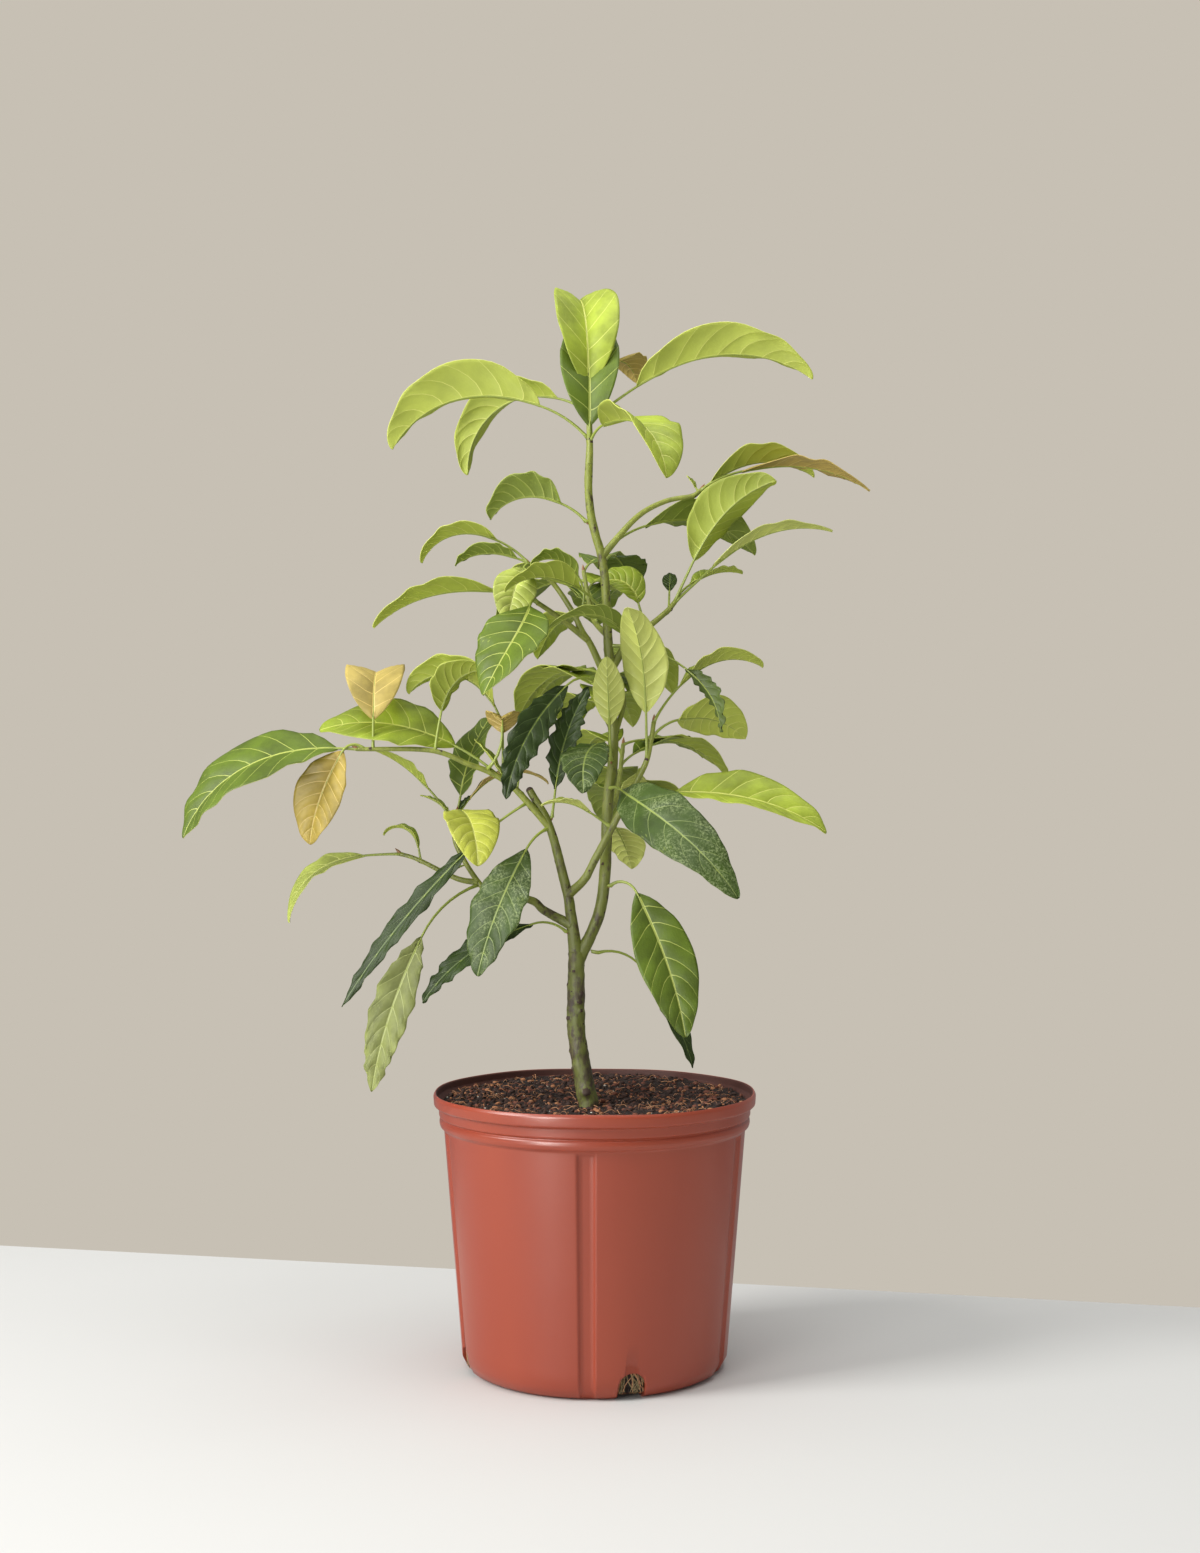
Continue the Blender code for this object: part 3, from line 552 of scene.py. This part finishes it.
def add_cord(line, scale, core, out):
    """The leaf stalk, which goes on as the raised midrib below the blade."""
    rings = []
    steps = [i / STALK_ROWS for i in range(STALK_ROWS + 1)]
    steps += [1 + 0.97 * (i + 1) / RIB_ROWS for i in range(RIB_ROWS)]
    for t in steps:
        spot, side, face = line.at(t)
        along_blade = max(0.0, t - 1.0)
        radius = (STALK_RADIUS - 0.3 * min(t, 1.0)) * (1 - 0.8 * along_blade ** 0.7) * (0.75 + 0.25 * scale)
        radius *= 1 + 0.45 * math.exp(-t / 0.08)
        centre = spot - face * (min(1.0, along_blade / 0.1) * (LEAF_THICKNESS * 0.5 + radius * 0.45))
        rings.append(circle(centre, side, face, radius, CORD_SIDES))
    shift = Vector(core) - line.at(0.0)[0]
    if shift.length > 0.1:
        rings.insert(0, [p + shift for p in rings[0]])
    out.rings(rings, "stalk")


def add_limb(stem, out, kind, sides, foot_radius, decay, inset, bumps, relief, rng):
    """A limb with a swollen foot that starts inside its carrier, scars and bumps, and a round tip."""
    seed = Vector((rng.uniform(0, 99), 0, 0))
    start, first_way = stem.place(0.0)
    tip, last_way = stem.place(1.0)
    total = stem.marks[-1]
    spots = [(start - first_way * inset, 0.0, 1.0)]
    spots += [(p, mark, 1.0) for p, mark in zip(stem.points, stem.marks)]
    for part in TIP_SHARES:
        spots.append((tip + last_way * stem.radii[1] * part * 0.8, total, math.sqrt(1 - part * part)))
    side = first_way.orthogonal().normalized()
    rings = []
    scarred = []
    for (p, mark, shrink), way in zip(spots, directions([spot[0] for spot in spots])):
        side = (side - way * side.dot(way)).normalized()
        other = way.cross(side)
        plain = stem.radius(mark / total)
        plain += (foot_radius - stem.radii[0]) * math.exp(-mark / decay)
        near = []
        for spot, heading, height, size in bumps:
            if abs(mark - spot) < 3 * size:
                outward = aim(heading, 0)
                near.append((mark - spot, (outward - way * outward.dot(way)).normalized(), height, size))
        ring = []
        for k in range(sides):
            angle = TURN * k / sides
            out_way = side * math.cos(angle) + other * math.sin(angle)
            radius = plain * (1 + relief * noise.fractal(p * 0.09 + out_way * 0.9 + seed, 1.0, 2.0, 3))
            weight = 0.0
            for gap, outward, height, size in near:
                round_gap = math.acos(max(-1.0, min(1.0, out_way.dot(outward)))) * plain
                here = math.exp(-(gap / size) ** 2 - (round_gap / size) ** 2)
                radius += height * here
                weight = max(weight, here)
            scarred.append(weight > 0.5)
            ring.append(p + out_way * radius * shrink)
        rings.append(ring)
    first_face = len(out.faces)
    out.rings(rings, kind)
    for i, is_scar in enumerate(scarred[:-sides]):
        if is_scar:
            out.kinds[first_face + i] = "scar"


def add_bud(base, way, length, out):
    """A small pointed bud."""
    side = way.orthogonal().normalized()
    other = way.cross(side)
    rings = []
    for along, radius in BUD_PROFILE:
        rings.append(circle(base + way * length * along, side, other, length * radius, 8))
    out.rings(rings, "bud")


def scars(total, rng, height):
    """Leaf scars that wind up a limb: place along it, heading, height and size."""
    out = []
    mark, heading = rng.uniform(3, SCAR_SPACING), rng.uniform(0, 360)
    while mark < total - 3:
        out.append((mark, heading, height * rng.uniform(0.6, 1.2), SCAR_SIZE * rng.uniform(0.7, 1.2)))
        mark += SCAR_SPACING * rng.uniform(0.7, 1.3)
        heading += SCAR_TURN
    return out


def back_spray(share, heading, stems, rng):
    """A short twig on the far side, with leaves at even turns round it."""
    centre, _ = stems["leader"].place(share)
    tip = centre + aim(heading, 40) * BACK_TWIG
    bend = centre + aim(heading, 20) * (BACK_TWIG * 0.5)
    leaves = []
    for i in range(BACK_LEAVES):
        turn = heading + (i % 2 * 2 - 1) * (12 + 9 * (i // 2)) + rng.uniform(-6, 6)
        share_of_twig = 0.3 + 0.7 * i / (BACK_LEAVES - 1)
        leaves.append(Leaf(share_of_twig, turn, rng.uniform(10, 50), rng.uniform(18, 26), 15,
                           rng.uniform(80, 112), rng.uniform(50, 75), rng.uniform(36, 48), 15,
                           rng.choice(("mature", "young"))))
    return Twig(("leader", share), [tuple(bend), tuple(tip)], (2.2, 1.7), leaves)


def srgb(*values):
    """An opaque colour in linear values, from sRGB values up to 255."""
    out = []
    for value in values:
        c = value / 255
        out.append(c / 12.92 if c <= 0.04045 else ((c + 0.055) / 1.055) ** 2.4)
    return (*out, 1.0)


class Finish:
    """A material built node by node; an input is fed by a value or by another node's output."""

    def __init__(self, name, colour, rough, specular=0.5):
        material = bpy.data.materials.new(name)
        material.use_nodes = True
        FINISHES[name] = material
        self.tree = material.node_tree
        self.shader = self.tree.nodes["Principled BSDF"]
        self.colour(srgb(*colour))
        self.feed(self.shader, "Roughness", rough)
        self.feed(self.shader, "Specular IOR Level", specular)
        self.space = self.tree.nodes.new("ShaderNodeTexCoord").outputs["Object"]

    def feed(self, node, key, value):
        if isinstance(value, bpy.types.NodeSocket):
            self.tree.links.new(value, node.inputs[key])
        else:
            node.inputs[key].default_value = value

    def node(self, kind, feeds, **settings):
        node = self.tree.nodes.new(kind)
        for key, value in settings.items():
            setattr(node, key, value)
        for key, value in feeds.items():
            self.feed(node, key, value)
        return node

    def noise(self, scale, detail=4, rough=0.6, stretch=(1, 1, 1)):
        place = self.node("ShaderNodeMapping", {"Vector": self.space, "Scale": stretch}).outputs["Vector"]
        feeds = {"Vector": place, "Scale": scale, "Detail": detail, "Roughness": rough}
        return self.node("ShaderNodeTexNoise", feeds).outputs["Fac"]

    def cells(self, scale):
        feeds = {"Vector": self.space, "Scale": scale}
        return self.node("ShaderNodeTexVoronoi", feeds, feature="DISTANCE_TO_EDGE").outputs["Distance"]

    def calculated(self, a, b, operation="ADD"):
        return self.node("ShaderNodeMath", {0: a, 1: b}, operation=operation).outputs[0]

    def fit(self, source, low=0.0, high=1.0, to_low=0.0, to_high=1.0):
        """The source's values from low to high, spread from to_low to to_high."""
        feeds = {"Value": source, "From Min": low, "From Max": high, "To Min": to_low, "To Max": to_high}
        return self.node("ShaderNodeMapRange", feeds).outputs["Result"]

    def ramp(self, source, low, high, dark=BLACK, light=WHITE):
        """Dark up to the low value of the source, light from the high one."""
        node = self.node("ShaderNodeValToRGB", {"Fac": source})
        for end, place, colour in zip(node.color_ramp.elements, (low, high), (dark, light)):
            end.position = place
            end.color = colour
        return node.outputs["Color"]

    def mix(self, factor, a, b):
        return self.node("ShaderNodeMix", {"Factor": factor, 6: a, 7: b}, data_type="RGBA").outputs[2]

    def colour(self, source):
        self.feed(self.shader, "Base Color", source)

    def bump(self, height, strength, distance):
        feeds = {"Height": height, "Strength": strength, "Distance": distance}
        self.feed(self.shader, "Normal", self.node("ShaderNodeBump", feeds).outputs["Normal"])

    def roughness(self, source, low, high):
        self.feed(self.shader, "Roughness", self.fit(source, to_low=low, to_high=high))


def leaf_finishes():
    for kind, look in LOOKS.items():
        upper = Finish(kind + "_upper", look.upper, look.rough, specular=0.25)
        upper.bump(upper.cells(420.0), 0.25, 0.0006)
        upper.roughness(upper.noise(90), look.rough - 0.06, look.rough + 0.12)
        dim = srgb(*(v * 0.86 for v in look.upper))
        lit = srgb(*(min(255, v * 1.07) for v in look.upper))
        tone = upper.ramp(upper.noise(34, 4, 0.6), 0.36, 0.64, dim, lit)
        upper.colour(tone)
        if kind == "speckled":
            fine = upper.ramp(upper.noise(520, 6, 0.75), 0.47, 0.6)
            broad = upper.ramp(upper.noise(38, 3, 0.5), 0.42, 0.6)
            share = upper.calculated(upper.calculated(fine, broad, "MULTIPLY"), 0.62, "MULTIPLY")
            upper.colour(upper.mix(share, tone, srgb(150, 164, 112)))
        under = Finish(kind + "_under", look.under, look.rough + 0.12, specular=0.3)
        dim = srgb(*(v * 0.92 for v in look.under))
        under.colour(under.ramp(under.noise(30), 0.36, 0.64, dim, srgb(*look.under)))
        under.bump(under.cells(360.0), 0.2, 0.0006)
        vein = Finish(kind + "_vein", look.vein, 0.5)
        vein.bump(vein.noise(900), 0.15, 0.0004)


def limb_finishes():
    twig = Finish("twig", (134, 144, 56), 0.5)
    grain = twig.noise(220, 5, 0.7, (1, 1, 0.25))
    twig.colour(twig.ramp(grain, 0.3, 0.62, srgb(108, 116, 44), srgb(148, 156, 62)))
    twig.bump(grain, 0.35, 0.0008)

    bark = Finish("bark", (96, 104, 52), 0.6)
    height = bark.node("ShaderNodeSeparateXYZ", {"Vector": bark.space}).outputs["Z"]
    green = bark.ramp(bark.fit(height, 0.2, 0.76), 0.0, 1.0, srgb(92, 98, 32), srgb(136, 146, 46))
    age = bark.fit(height, 0.22, 0.42, 0.1, -0.03)
    patches = bark.calculated(bark.noise(85, 6, 0.75, (1, 1, 0.55)), age)
    streak = bark.noise(260, 5, 0.7, (1, 1, 0.15))
    tone = bark.mix(bark.ramp(patches, 0.5, 0.6), green, srgb(64, 50, 30))
    bark.colour(bark.mix(bark.ramp(streak, 0.45, 0.75, BLACK, (0.6, 0.6, 0.6, 1)), tone, srgb(122, 122, 62)))
    bark.bump(streak, 0.5, 0.0012)


def ground_finishes():
    plastic = Finish("pot", (150, 62, 38), 0.3, specular=0.6)
    broad = plastic.noise(9, 3, 0.5, (1, 1, 0.2))
    plastic.colour(plastic.ramp(broad, 0.3, 0.7, srgb(147, 55, 31), srgb(157, 65, 38)))
    plastic.bump(plastic.noise(700, 3, 0.5), 0.06, 0.0004)
    plastic.roughness(plastic.noise(30, 5, 0.6), 0.26, 0.4)

    peat = Finish("peat", (38, 27, 20), 0.95)
    grains = peat.noise(420, 8, 0.75)
    clods = peat.noise(90, 6, 0.7)
    tone = peat.ramp(grains, 0.3, 0.7, srgb(18, 11, 8), srgb(54, 31, 21))
    peat.colour(peat.mix(clods, tone, srgb(44, 28, 20)))
    peat.bump(grains, 1.0, 0.003)


def plain_finishes():
    for name, (colour, rough, grain, strength, distance) in PLAIN_LOOKS.items():
        finish = Finish(name, colour, rough)
        finish.bump(finish.noise(*grain), strength, distance)


def wall_radius(height):
    """Outer radius of the pot's straight wall at a height."""
    return WALL_FOOT_RADIUS + (WALL_TOP_RADIUS - WALL_FOOT_RADIUS) * height / BEAD_FOOT


def rounded(profile, radius, steps=4):
    """A profile with its corners rounded."""
    out = [profile[0]]
    for a, b, c in zip(profile, profile[1:], profile[2:]):
        a, b, c = Vector(a), Vector(b), Vector(c)
        cut = min(radius, (b - a).length * 0.45, (c - b).length * 0.45)
        start = b + (a - b).normalized() * cut
        end = b + (c - b).normalized() * cut
        for i in range(steps + 1):
            t = i / steps
            out.append(tuple(start * (1 - t) ** 2 + b * (2 * t * (1 - t)) + end * t * t))
    return out + [profile[-1]]


def pot_profile():
    """Radius and height of each ring of the pot, and how many of the rings line it."""
    lip_foot = POT_HEIGHT - LIP_HEIGHT
    inner, lip = BAND_RADIUS - WALL, LIP_RADIUS - WALL
    inside = [(0.01, WALL), (BASE_RADIUS, WALL), (wall_radius(CORNER) - WALL, CORNER),
              (WALL_TOP_RADIUS - WALL, BEAD_FOOT), (inner, BEAD_FOOT + 5), (inner, lip_foot + 1.5),
              (lip, lip_foot + 5), (lip, POT_HEIGHT - 1), (lip + 0.9, POT_HEIGHT - 0.2)]
    outside = [(LIP_RADIUS - 1.4, POT_HEIGHT), (LIP_RADIUS, POT_HEIGHT - 2.4),
               (LIP_RADIUS - 0.4, lip_foot + 1.2), (LIP_RADIUS - 2, lip_foot),
               (BAND_RADIUS + 0.2, lip_foot - 0.5), (BAND_RADIUS, BEAD_FOOT + 11),
               (BAND_RADIUS - 2.2, BEAD_FOOT + 9.4), (BEAD_RADIUS, BEAD_FOOT + 7.6),
               (BEAD_RADIUS + 0.2, BEAD_FOOT + 4.6), (BEAD_RADIUS - 0.6, BEAD_FOOT + 1.6),
               (WALL_TOP_RADIUS, BEAD_FOOT - 0.8)]
    wall = [(wall_radius(z), z) for z in WALL_ROWS]
    foot = [(WALL_FOOT_RADIUS - CORNER * 0.35, CORNER * 0.35), (BASE_RADIUS, 0), (0.01, 0)]
    return rounded(inside + outside, ROUNDING) + wall + foot, len(rounded(inside, ROUNDING))


def off_channel(angle, turn):
    """How far an angle round the pot is from the middle of a channel, in half widths of it."""
    return abs((angle - math.radians(turn - 90) + math.pi) % TURN - math.pi) / CHANNEL_HALF


def pot_angles():
    """Where the pot's rings have their points: even slices, and closer ones at the channels' edges."""
    angles = [TURN * i / POT_SLICES for i in range(POT_SLICES)]
    for turn in CHANNEL_ANGLES:
        angles = [a for a in angles if off_channel(a, turn) > 1.35]
        for column in CHANNEL_COLUMNS:
            angles += [math.radians(turn - 90) + side * CHANNEL_HALF * column for side in (-1, 1)]
    return sorted(a % TURN for a in angles)


def pot_mesh():
    """The pot: a turned shell with pressed channels, a slightly uneven lip and drain holes."""
    profile, lining = pot_profile()
    angles = pot_angles()
    gathered = Gathered()
    rings = []
    for n, (radius, z) in enumerate(profile):
        ring = []
        for a in angles:
            r, h = radius, z
            if n > lining and 0.5 < z < CHANNEL_TOP:
                for turn in CHANNEL_ANGLES:
                    pressed = max(0.0, min(1.0, (1.12 - off_channel(a, turn)) / 0.34))
                    r -= CHANNEL_SHOWN * CHANNEL_DEPTH * pressed
            if z > 199 and radius > 100:
                share = (z - 199) / 29
                r += share * 0.35 * math.sin(2 * a + 1.0)
                h += share * 0.5 * (math.sin(3 * a + 0.4) + 0.5 * math.sin(7 * a)) - share * 0.75
            ring.append(polar(r, a, h))
        rings.append(ring)
    gathered.rings(rings, "pot")
    # the rings that line the pot take the darker finish, which is painted shade inside the pot
    lined = len(angles) * (lining + 1)
    gathered.kinds[:lined] = ["pot_inner"] * lined
    pot = gathered.build("pot_looks")
    for turn in HOLE_ANGLES:
        cutter = arch_cutter(math.radians(turn))
        cut = pot.modifiers.new("hole", "BOOLEAN")
        cut.operation = "DIFFERENCE"
        cut.solver = "EXACT"
        cut.object = cutter
        graph = bpy.context.evaluated_depsgraph_get()
        mesh = bpy.data.meshes.new_from_object(pot.evaluated_get(graph))
        pot.modifiers.clear()
        pot.data = mesh
        bpy.data.objects.remove(cutter)
    return pot


def extruded(name, corners, way, turn=0.0):
    """A flat outline in metres, drawn out along way and turned round the pot's axis."""
    bm = bmesh.new()
    front = bm.faces.new([bm.verts.new(corner) for corner in corners])
    grown = bmesh.ops.extrude_face_region(bm, geom=[front])
    moved = [v for v in grown["geom"] if isinstance(v, bmesh.types.BMVert)]
    bmesh.ops.translate(bm, verts=moved, vec=way)
    bmesh.ops.recalc_face_normals(bm, faces=bm.faces)
    bmesh.ops.rotate(bm, verts=bm.verts, matrix=Matrix.Rotation(turn, 3, "Z"))
    mesh = bpy.data.meshes.new(name)
    bm.to_mesh(mesh)
    bm.free()
    return placed(name, mesh)


def arch_cutter(turn):
    """A doorway with a round head, through the wall at a turn round the pot."""
    half = HOLE_WIDTH / 2
    outline = [(-half, -6), (half, -6)]
    for i in range(17):
        point = polar(half, math.pi * i / 16)
        outline.append((point.x, point.y + HOLE_HEIGHT - half))
    corners = [(x * MM, -(WALL_FOOT_RADIUS + 20) * MM, z * MM) for x, z in outline]
    return extruded("arch", corners, (0, 40 * MM, 0), turn)


def soil_height(x, y):
    """The loose surface of the peat."""
    p = Vector((x * 0.03, y * 0.03, 0))
    rough = noise.fractal(p * 7, 0.8, 2.1, 4)
    swell = noise.noise(p * 0.8)
    return SOIL_TOP + 1.2 + 2.2 * swell + 1.7 * rough + 2.5 * max(0.0, y / 125)


def soil_mesh():
    inner = BAND_RADIUS - WALL - GAP - 0.3
    angles = [TURN * k / SOIL_SLICES for k in range(SOIL_SLICES)]
    rings = []
    for i in range(1, SOIL_RINGS + 1):
        ring = [polar(inner * (i / SOIL_RINGS), a) for a in angles]
        for point in ring:
            point.z = min(POT_HEIGHT - 3, soil_height(point.x, point.y))
        rings.append(ring)
    below = [(inner, BEAD_FOOT + 5)]
    below += [(wall_radius(z) - WALL - 0.8, z) for z in (BEAD_FOOT, 60, 12)]
    for radius, z in below + [(BASE_RADIUS, 4)]:
        rings.append([polar(radius, a, z) for a in angles])
    gathered = Gathered()
    gathered.rings(list(reversed(rings)), "peat")
    return gathered.build("soil_looks")


def scattered(rng, radius):
    """A random place on the peat."""
    reach = radius * math.sqrt(rng.random())
    return polar(reach, rng.uniform(0, TURN))


def crumbs(rng):
    """Bark chips, fibres and pale specks on the peat, and roots behind the drain holes."""
    gathered = Gathered()
    for _ in range(CHIPS):
        add_chip(gathered, rng)
    for _ in range(FIBRES):
        add_fibre(gathered, rng)
    for turn in HOLE_ANGLES:
        for _ in range(ROOTS_PER_HOLE):
            add_root(math.radians(turn - 90), gathered, rng)
    return gathered.build("crumbs")


def add_chip(out, rng):
    centre = scattered(rng, LITTER_RADIUS)
    kind = rng.choices(list(CHIP_SHARES), list(CHIP_SHARES.values()))[0]
    size = rng.uniform(0.5, 1.3) if kind == "speck" else rng.uniform(0.8, 3.6)
    turn = Matrix.Rotation(rng.uniform(0, ROUND), 3, "Z") @ Matrix.Rotation(rng.uniform(-0.9, 0.9), 3, "X")
    shape = Vector((size, size * rng.uniform(0.35, 0.8), size * rng.uniform(0.2, 0.5)))
    centre.z = soil_height(centre.x, centre.y) + shape.z * 0.5
    rings = []
    for level, spread in ((-1, 0.6), (0, 1.0), (1, 0.55)):
        rings.append([centre + turn @ Vector((shape.x * spread * math.cos(w) * rng.uniform(0.75, 1.1),
                                              shape.y * spread * math.sin(w) * rng.uniform(0.75, 1.1),
                                              shape.z * level)) for w in (0, 1.3, 2.6, 3.9, 5.1)])
    out.rings(rings, kind)


def add_fibre(out, rng):
    middle = scattered(rng, LITTER_RADIUS - 2)
    way = rng.uniform(0, ROUND)
    length = rng.uniform(4, 17)
    bend = rng.uniform(-1.2, 1.2)
    height = rng.uniform(0.4, 3.4)
    points = []
    for i in range(6):
        t = i / 5
        point = middle + polar(length * (t - 0.5), way + bend * t)
        if point.length > LITTER_RADIUS:
            point *= 0.94
        point.z = soil_height(point.x, point.y) + height * math.sin(math.pi * t) + 0.1
        points.append(point)
    add_thread(points, rng.uniform(0.15, 0.38), rng.choice(("fibre", "chip_red", "fibre", "chip_tan")), out)


def add_root(middle, out, rng):
    """A root that shows through the drain hole at the angle middle."""
    points = []
    offset = rng.uniform(-0.1, 0.1)
    slope = rng.uniform(-0.12, 0.12)
    wobble = rng.uniform(0, 6)
    for i in range(7):
        t = i / 6
        z = 5 + 20 * t
        a = middle + offset + slope * (t - 0.5) + 0.015 * math.sin(wobble + 5 * t)
        points.append(polar(wall_radius(max(9, z)) - WALL - 0.6 + rng.uniform(0, 0.8), a, z))
    add_thread(points, rng.uniform(0.25, 0.6), rng.choice(("root", "root", "fibre", "chip_dark")), out)


def add_thread(points, radius, kind, out):
    """A thin three-sided cord with narrow ends."""
    rings = []
    for i, (p, way) in enumerate(zip(points, directions(points))):
        side = way.cross(Vector((0, 0, 1)))
        side = side.normalized() if side.length > 0.01 else Vector((1, 0, 0))
        other = way.cross(side)
        size = radius * (0.35 if i in (0, len(points) - 1) else 1.0)
        rings.append([p + (side * math.cos(w) + other * math.sin(w)) * size for w in THIRDS])
    out.rings(rings, kind)


def limb_piece(stems, rng):
    """The trunk and the boughs in one piece, with scars that wind up them and the marks on the trunk."""
    limbs = Gathered()
    for name, stem in stems.items():
        if name == "trunk":
            foot, decay, inset = stem.radii[0] * 1.12, 10.0, 5.0
            stem = Stem(TRUNK, tuple(r + BARK_SWELL for r in TRUNK_RADII), 1.0)
        elif LIMBS[name].at[1] == 1.0:
            foot, decay, inset = stems[LIMBS[name].at[0]].radii[1], 14.0, 1.5
            stem = Stem([stem.points[0]] + LIMBS[name].points, stem.radii, LIMB_STEP)
        else:
            foot, decay, inset = stem.radii[0] * 1.3, 9.0, 0.0
            stem = rooted_stem(LIMBS[name], stems)
        marks = scars(stem.marks[-1], rng, 0.12 * stem.radii[1])
        if name == "trunk":
            marks += TRUNK_SCARS
        relief = 0.12 if name == "trunk" else 0.08
        add_limb(stem, limbs, "bark", LIMB_SIDES, foot, decay, inset, marks, relief, rng)
        if name == "bough_left":
            cut = 4 * LIMB_SIDES + 1
            limbs.kinds[-cut:] = ["scar"] * cut
    obj = limbs.build("limbs_looks")
    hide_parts(*stems)


def mass_pieces(name, twigs, stems, rng):
    """The leaves of one mass in one piece, and its twigs with their buds in another."""
    leaves, wood = Gathered(), Gathered()
    main = grown_stem(twigs[0], stems)
    for i, twig in enumerate(twigs):
        stem = main if i == 0 else Stem([main.place(twig.at)[0]] + twig.points, twig.radii)
        nodes = [(leaf.at * stem.marks[-1], leaf.heading, 0.5, 1.6) for leaf in twig.leaves]
        if i == 0 and twig.at[1] == 1.0:
            add_limb(stem, wood, "twig", TWIG_SIDES, stems[twig.at[0]].radii[1], 9.0, 1.5, nodes, 0.04, rng)
        else:
            shown = rooted_stem(twig, stems) if i == 0 else stem
            add_limb(shown, wood, "twig", TWIG_SIDES, stem.radii[0] * 1.35, 30.0, 0.0, nodes, 0.04, rng)
        tip, way = stem.place(1.0)
        add_bud(tip, (way + Vector((0, 0, 0.6))).normalized(), 7.0, wood)
        for leaf in twig.leaves:
            root, _ = stem.place(leaf.at)
            add_leaf(leaf, root, root, leaves, rng)
    obj = leaves.build(name + "_leaves")
    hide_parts(name)
    obj = wood.build(name + "_twigs")


def single_leaf_piece(stems, rng):
    singles = Gathered()
    for carrier, *row in SINGLES.values():
        single = Leaf(*row)
        centre, _ = stems[carrier].place(single.at)
        way = aim(single.heading, single.rise)
        root = clear_foot(stems[carrier], single.at, centre + way * 20, STALK_RADIUS)
        add_leaf(single, root, centre, singles, rng)
        add_bud(root - way * 2.2, way, 4.2, singles)
    obj = singles.build("single_leaves")
    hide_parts(*SINGLES)


def plant():
    stems = {"trunk": Stem(TRUNK, TRUNK_RADII)}
    for name, limb in LIMBS.items():
        stems[name] = grown_stem(limb, stems)
    masses = dict(MASSES)
    rng = random.Random(BACK_SEED)
    for name, (share, heading) in BACK_SPRAYS.items():
        masses[name] = [back_spray(share, heading, stems, rng)]
    detail = random.Random(DETAIL_SEED)
    limb_piece(stems, detail)
    for name, twigs in masses.items():
        mass_pieces(name, twigs, stems, detail)
    single_leaf_piece(stems, detail)


def light(name, place, target, size, power, colour):
    """A rectangular lamp that points at the target."""
    lamp = bpy.data.lights.new(name, "AREA")
    lamp.shape = "RECTANGLE"
    lamp.size, lamp.size_y = size
    lamp.energy = power
    lamp.color = srgb(*colour)[:3]
    obj = placed(name, lamp)
    obj.location = place
    obj.rotation_euler = (Vector(target) - Vector(place)).to_track_quat("-Z", "Y").to_euler()
    return obj


def room():
    """The floor, a plain backdrop with soft light all round, the lamps and the camera."""
    scene = bpy.context.scene
    scene.view_settings.view_transform = "Standard"
    world = bpy.data.worlds.new("room")
    world.use_nodes = True
    tree = world.node_tree
    wall = tree.nodes["Background"]
    wall.inputs["Color"].default_value = srgb(199, 192, 180)
    glow = tree.nodes.new("ShaderNodeBackground")
    glow.inputs["Color"].default_value = srgb(222, 222, 221)
    glow.inputs["Strength"].default_value = 0.45
    rays = tree.nodes.new("ShaderNodeLightPath")
    either = tree.nodes.new("ShaderNodeMixShader")
    tree.links.new(rays.outputs["Is Camera Ray"], either.inputs["Fac"])
    tree.links.new(glow.outputs["Background"], either.inputs[1])
    tree.links.new(wall.outputs["Background"], either.inputs[2])
    tree.links.new(either.outputs["Shader"], tree.nodes["World Output"].inputs["Surface"])
    scene.world = world

    corners = [(-FLOOR_REACH, -FLOOR_REACH, 0), (FLOOR_REACH, -FLOOR_REACH, 0)]
    for x in (FLOOR_REACH, -FLOOR_REACH):
        corners.append((x, FLOOR_EDGE[1] + FLOOR_SLOPE * (x - FLOOR_EDGE[0]), 0))
    floor = extruded("floor", corners, (0, 0, -FLOOR_THICKNESS))
    paper = Finish("floor", (211, 211, 209), 0.7)
    paper.bump(paper.noise(300), 0.03, 0.0005)
    floor.data.materials.append(FINISHES["floor"])

    light("key", (-3.0, -1.3, 2.3), (0, 0, 0.4), (1.3, 1.7), 130, NEAR_WHITE)
    strip = light("strip", (-1.0, -1.5, 0.5), (0, 0, 0.15), (0.16, 1.3), 34, WARM_WHITE)
    strip.visible_diffuse = False
    light("fill", (-1.0, -1.6, 0.7), (0, 0, 0.45), (0.7, 0.7), 8, WARM_WHITE)
    light("top", (0.1, -0.3, 2.4), (0, 0, 0.3), (1.8, 1.8), 32, NEAR_WHITE)

    lens = bpy.data.cameras.new("camera")
    lens.sensor_width = SENSOR
    lens.lens = FOCAL_PIXELS * SENSOR / PHOTO_HEIGHT
    scene.camera = placed("camera", lens)
    scene.camera.location = CAMERA_PLACE
    scene.camera.rotation_euler = (math.radians(90), 0, 0)


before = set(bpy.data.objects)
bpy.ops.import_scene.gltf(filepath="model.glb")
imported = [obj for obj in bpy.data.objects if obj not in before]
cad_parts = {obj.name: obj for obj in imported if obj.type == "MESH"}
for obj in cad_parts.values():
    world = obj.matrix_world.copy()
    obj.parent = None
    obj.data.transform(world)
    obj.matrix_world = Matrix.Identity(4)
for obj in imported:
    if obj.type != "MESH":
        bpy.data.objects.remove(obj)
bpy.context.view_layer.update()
leaf_finishes()
limb_finishes()
ground_finishes()
plain_finishes()
plant()
pot_piece = pot_mesh()
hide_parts("pot")
soil_piece = soil_mesh()
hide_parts("soil")
crumb_piece = crumbs(random.Random(CRUMB_SEED))
room()
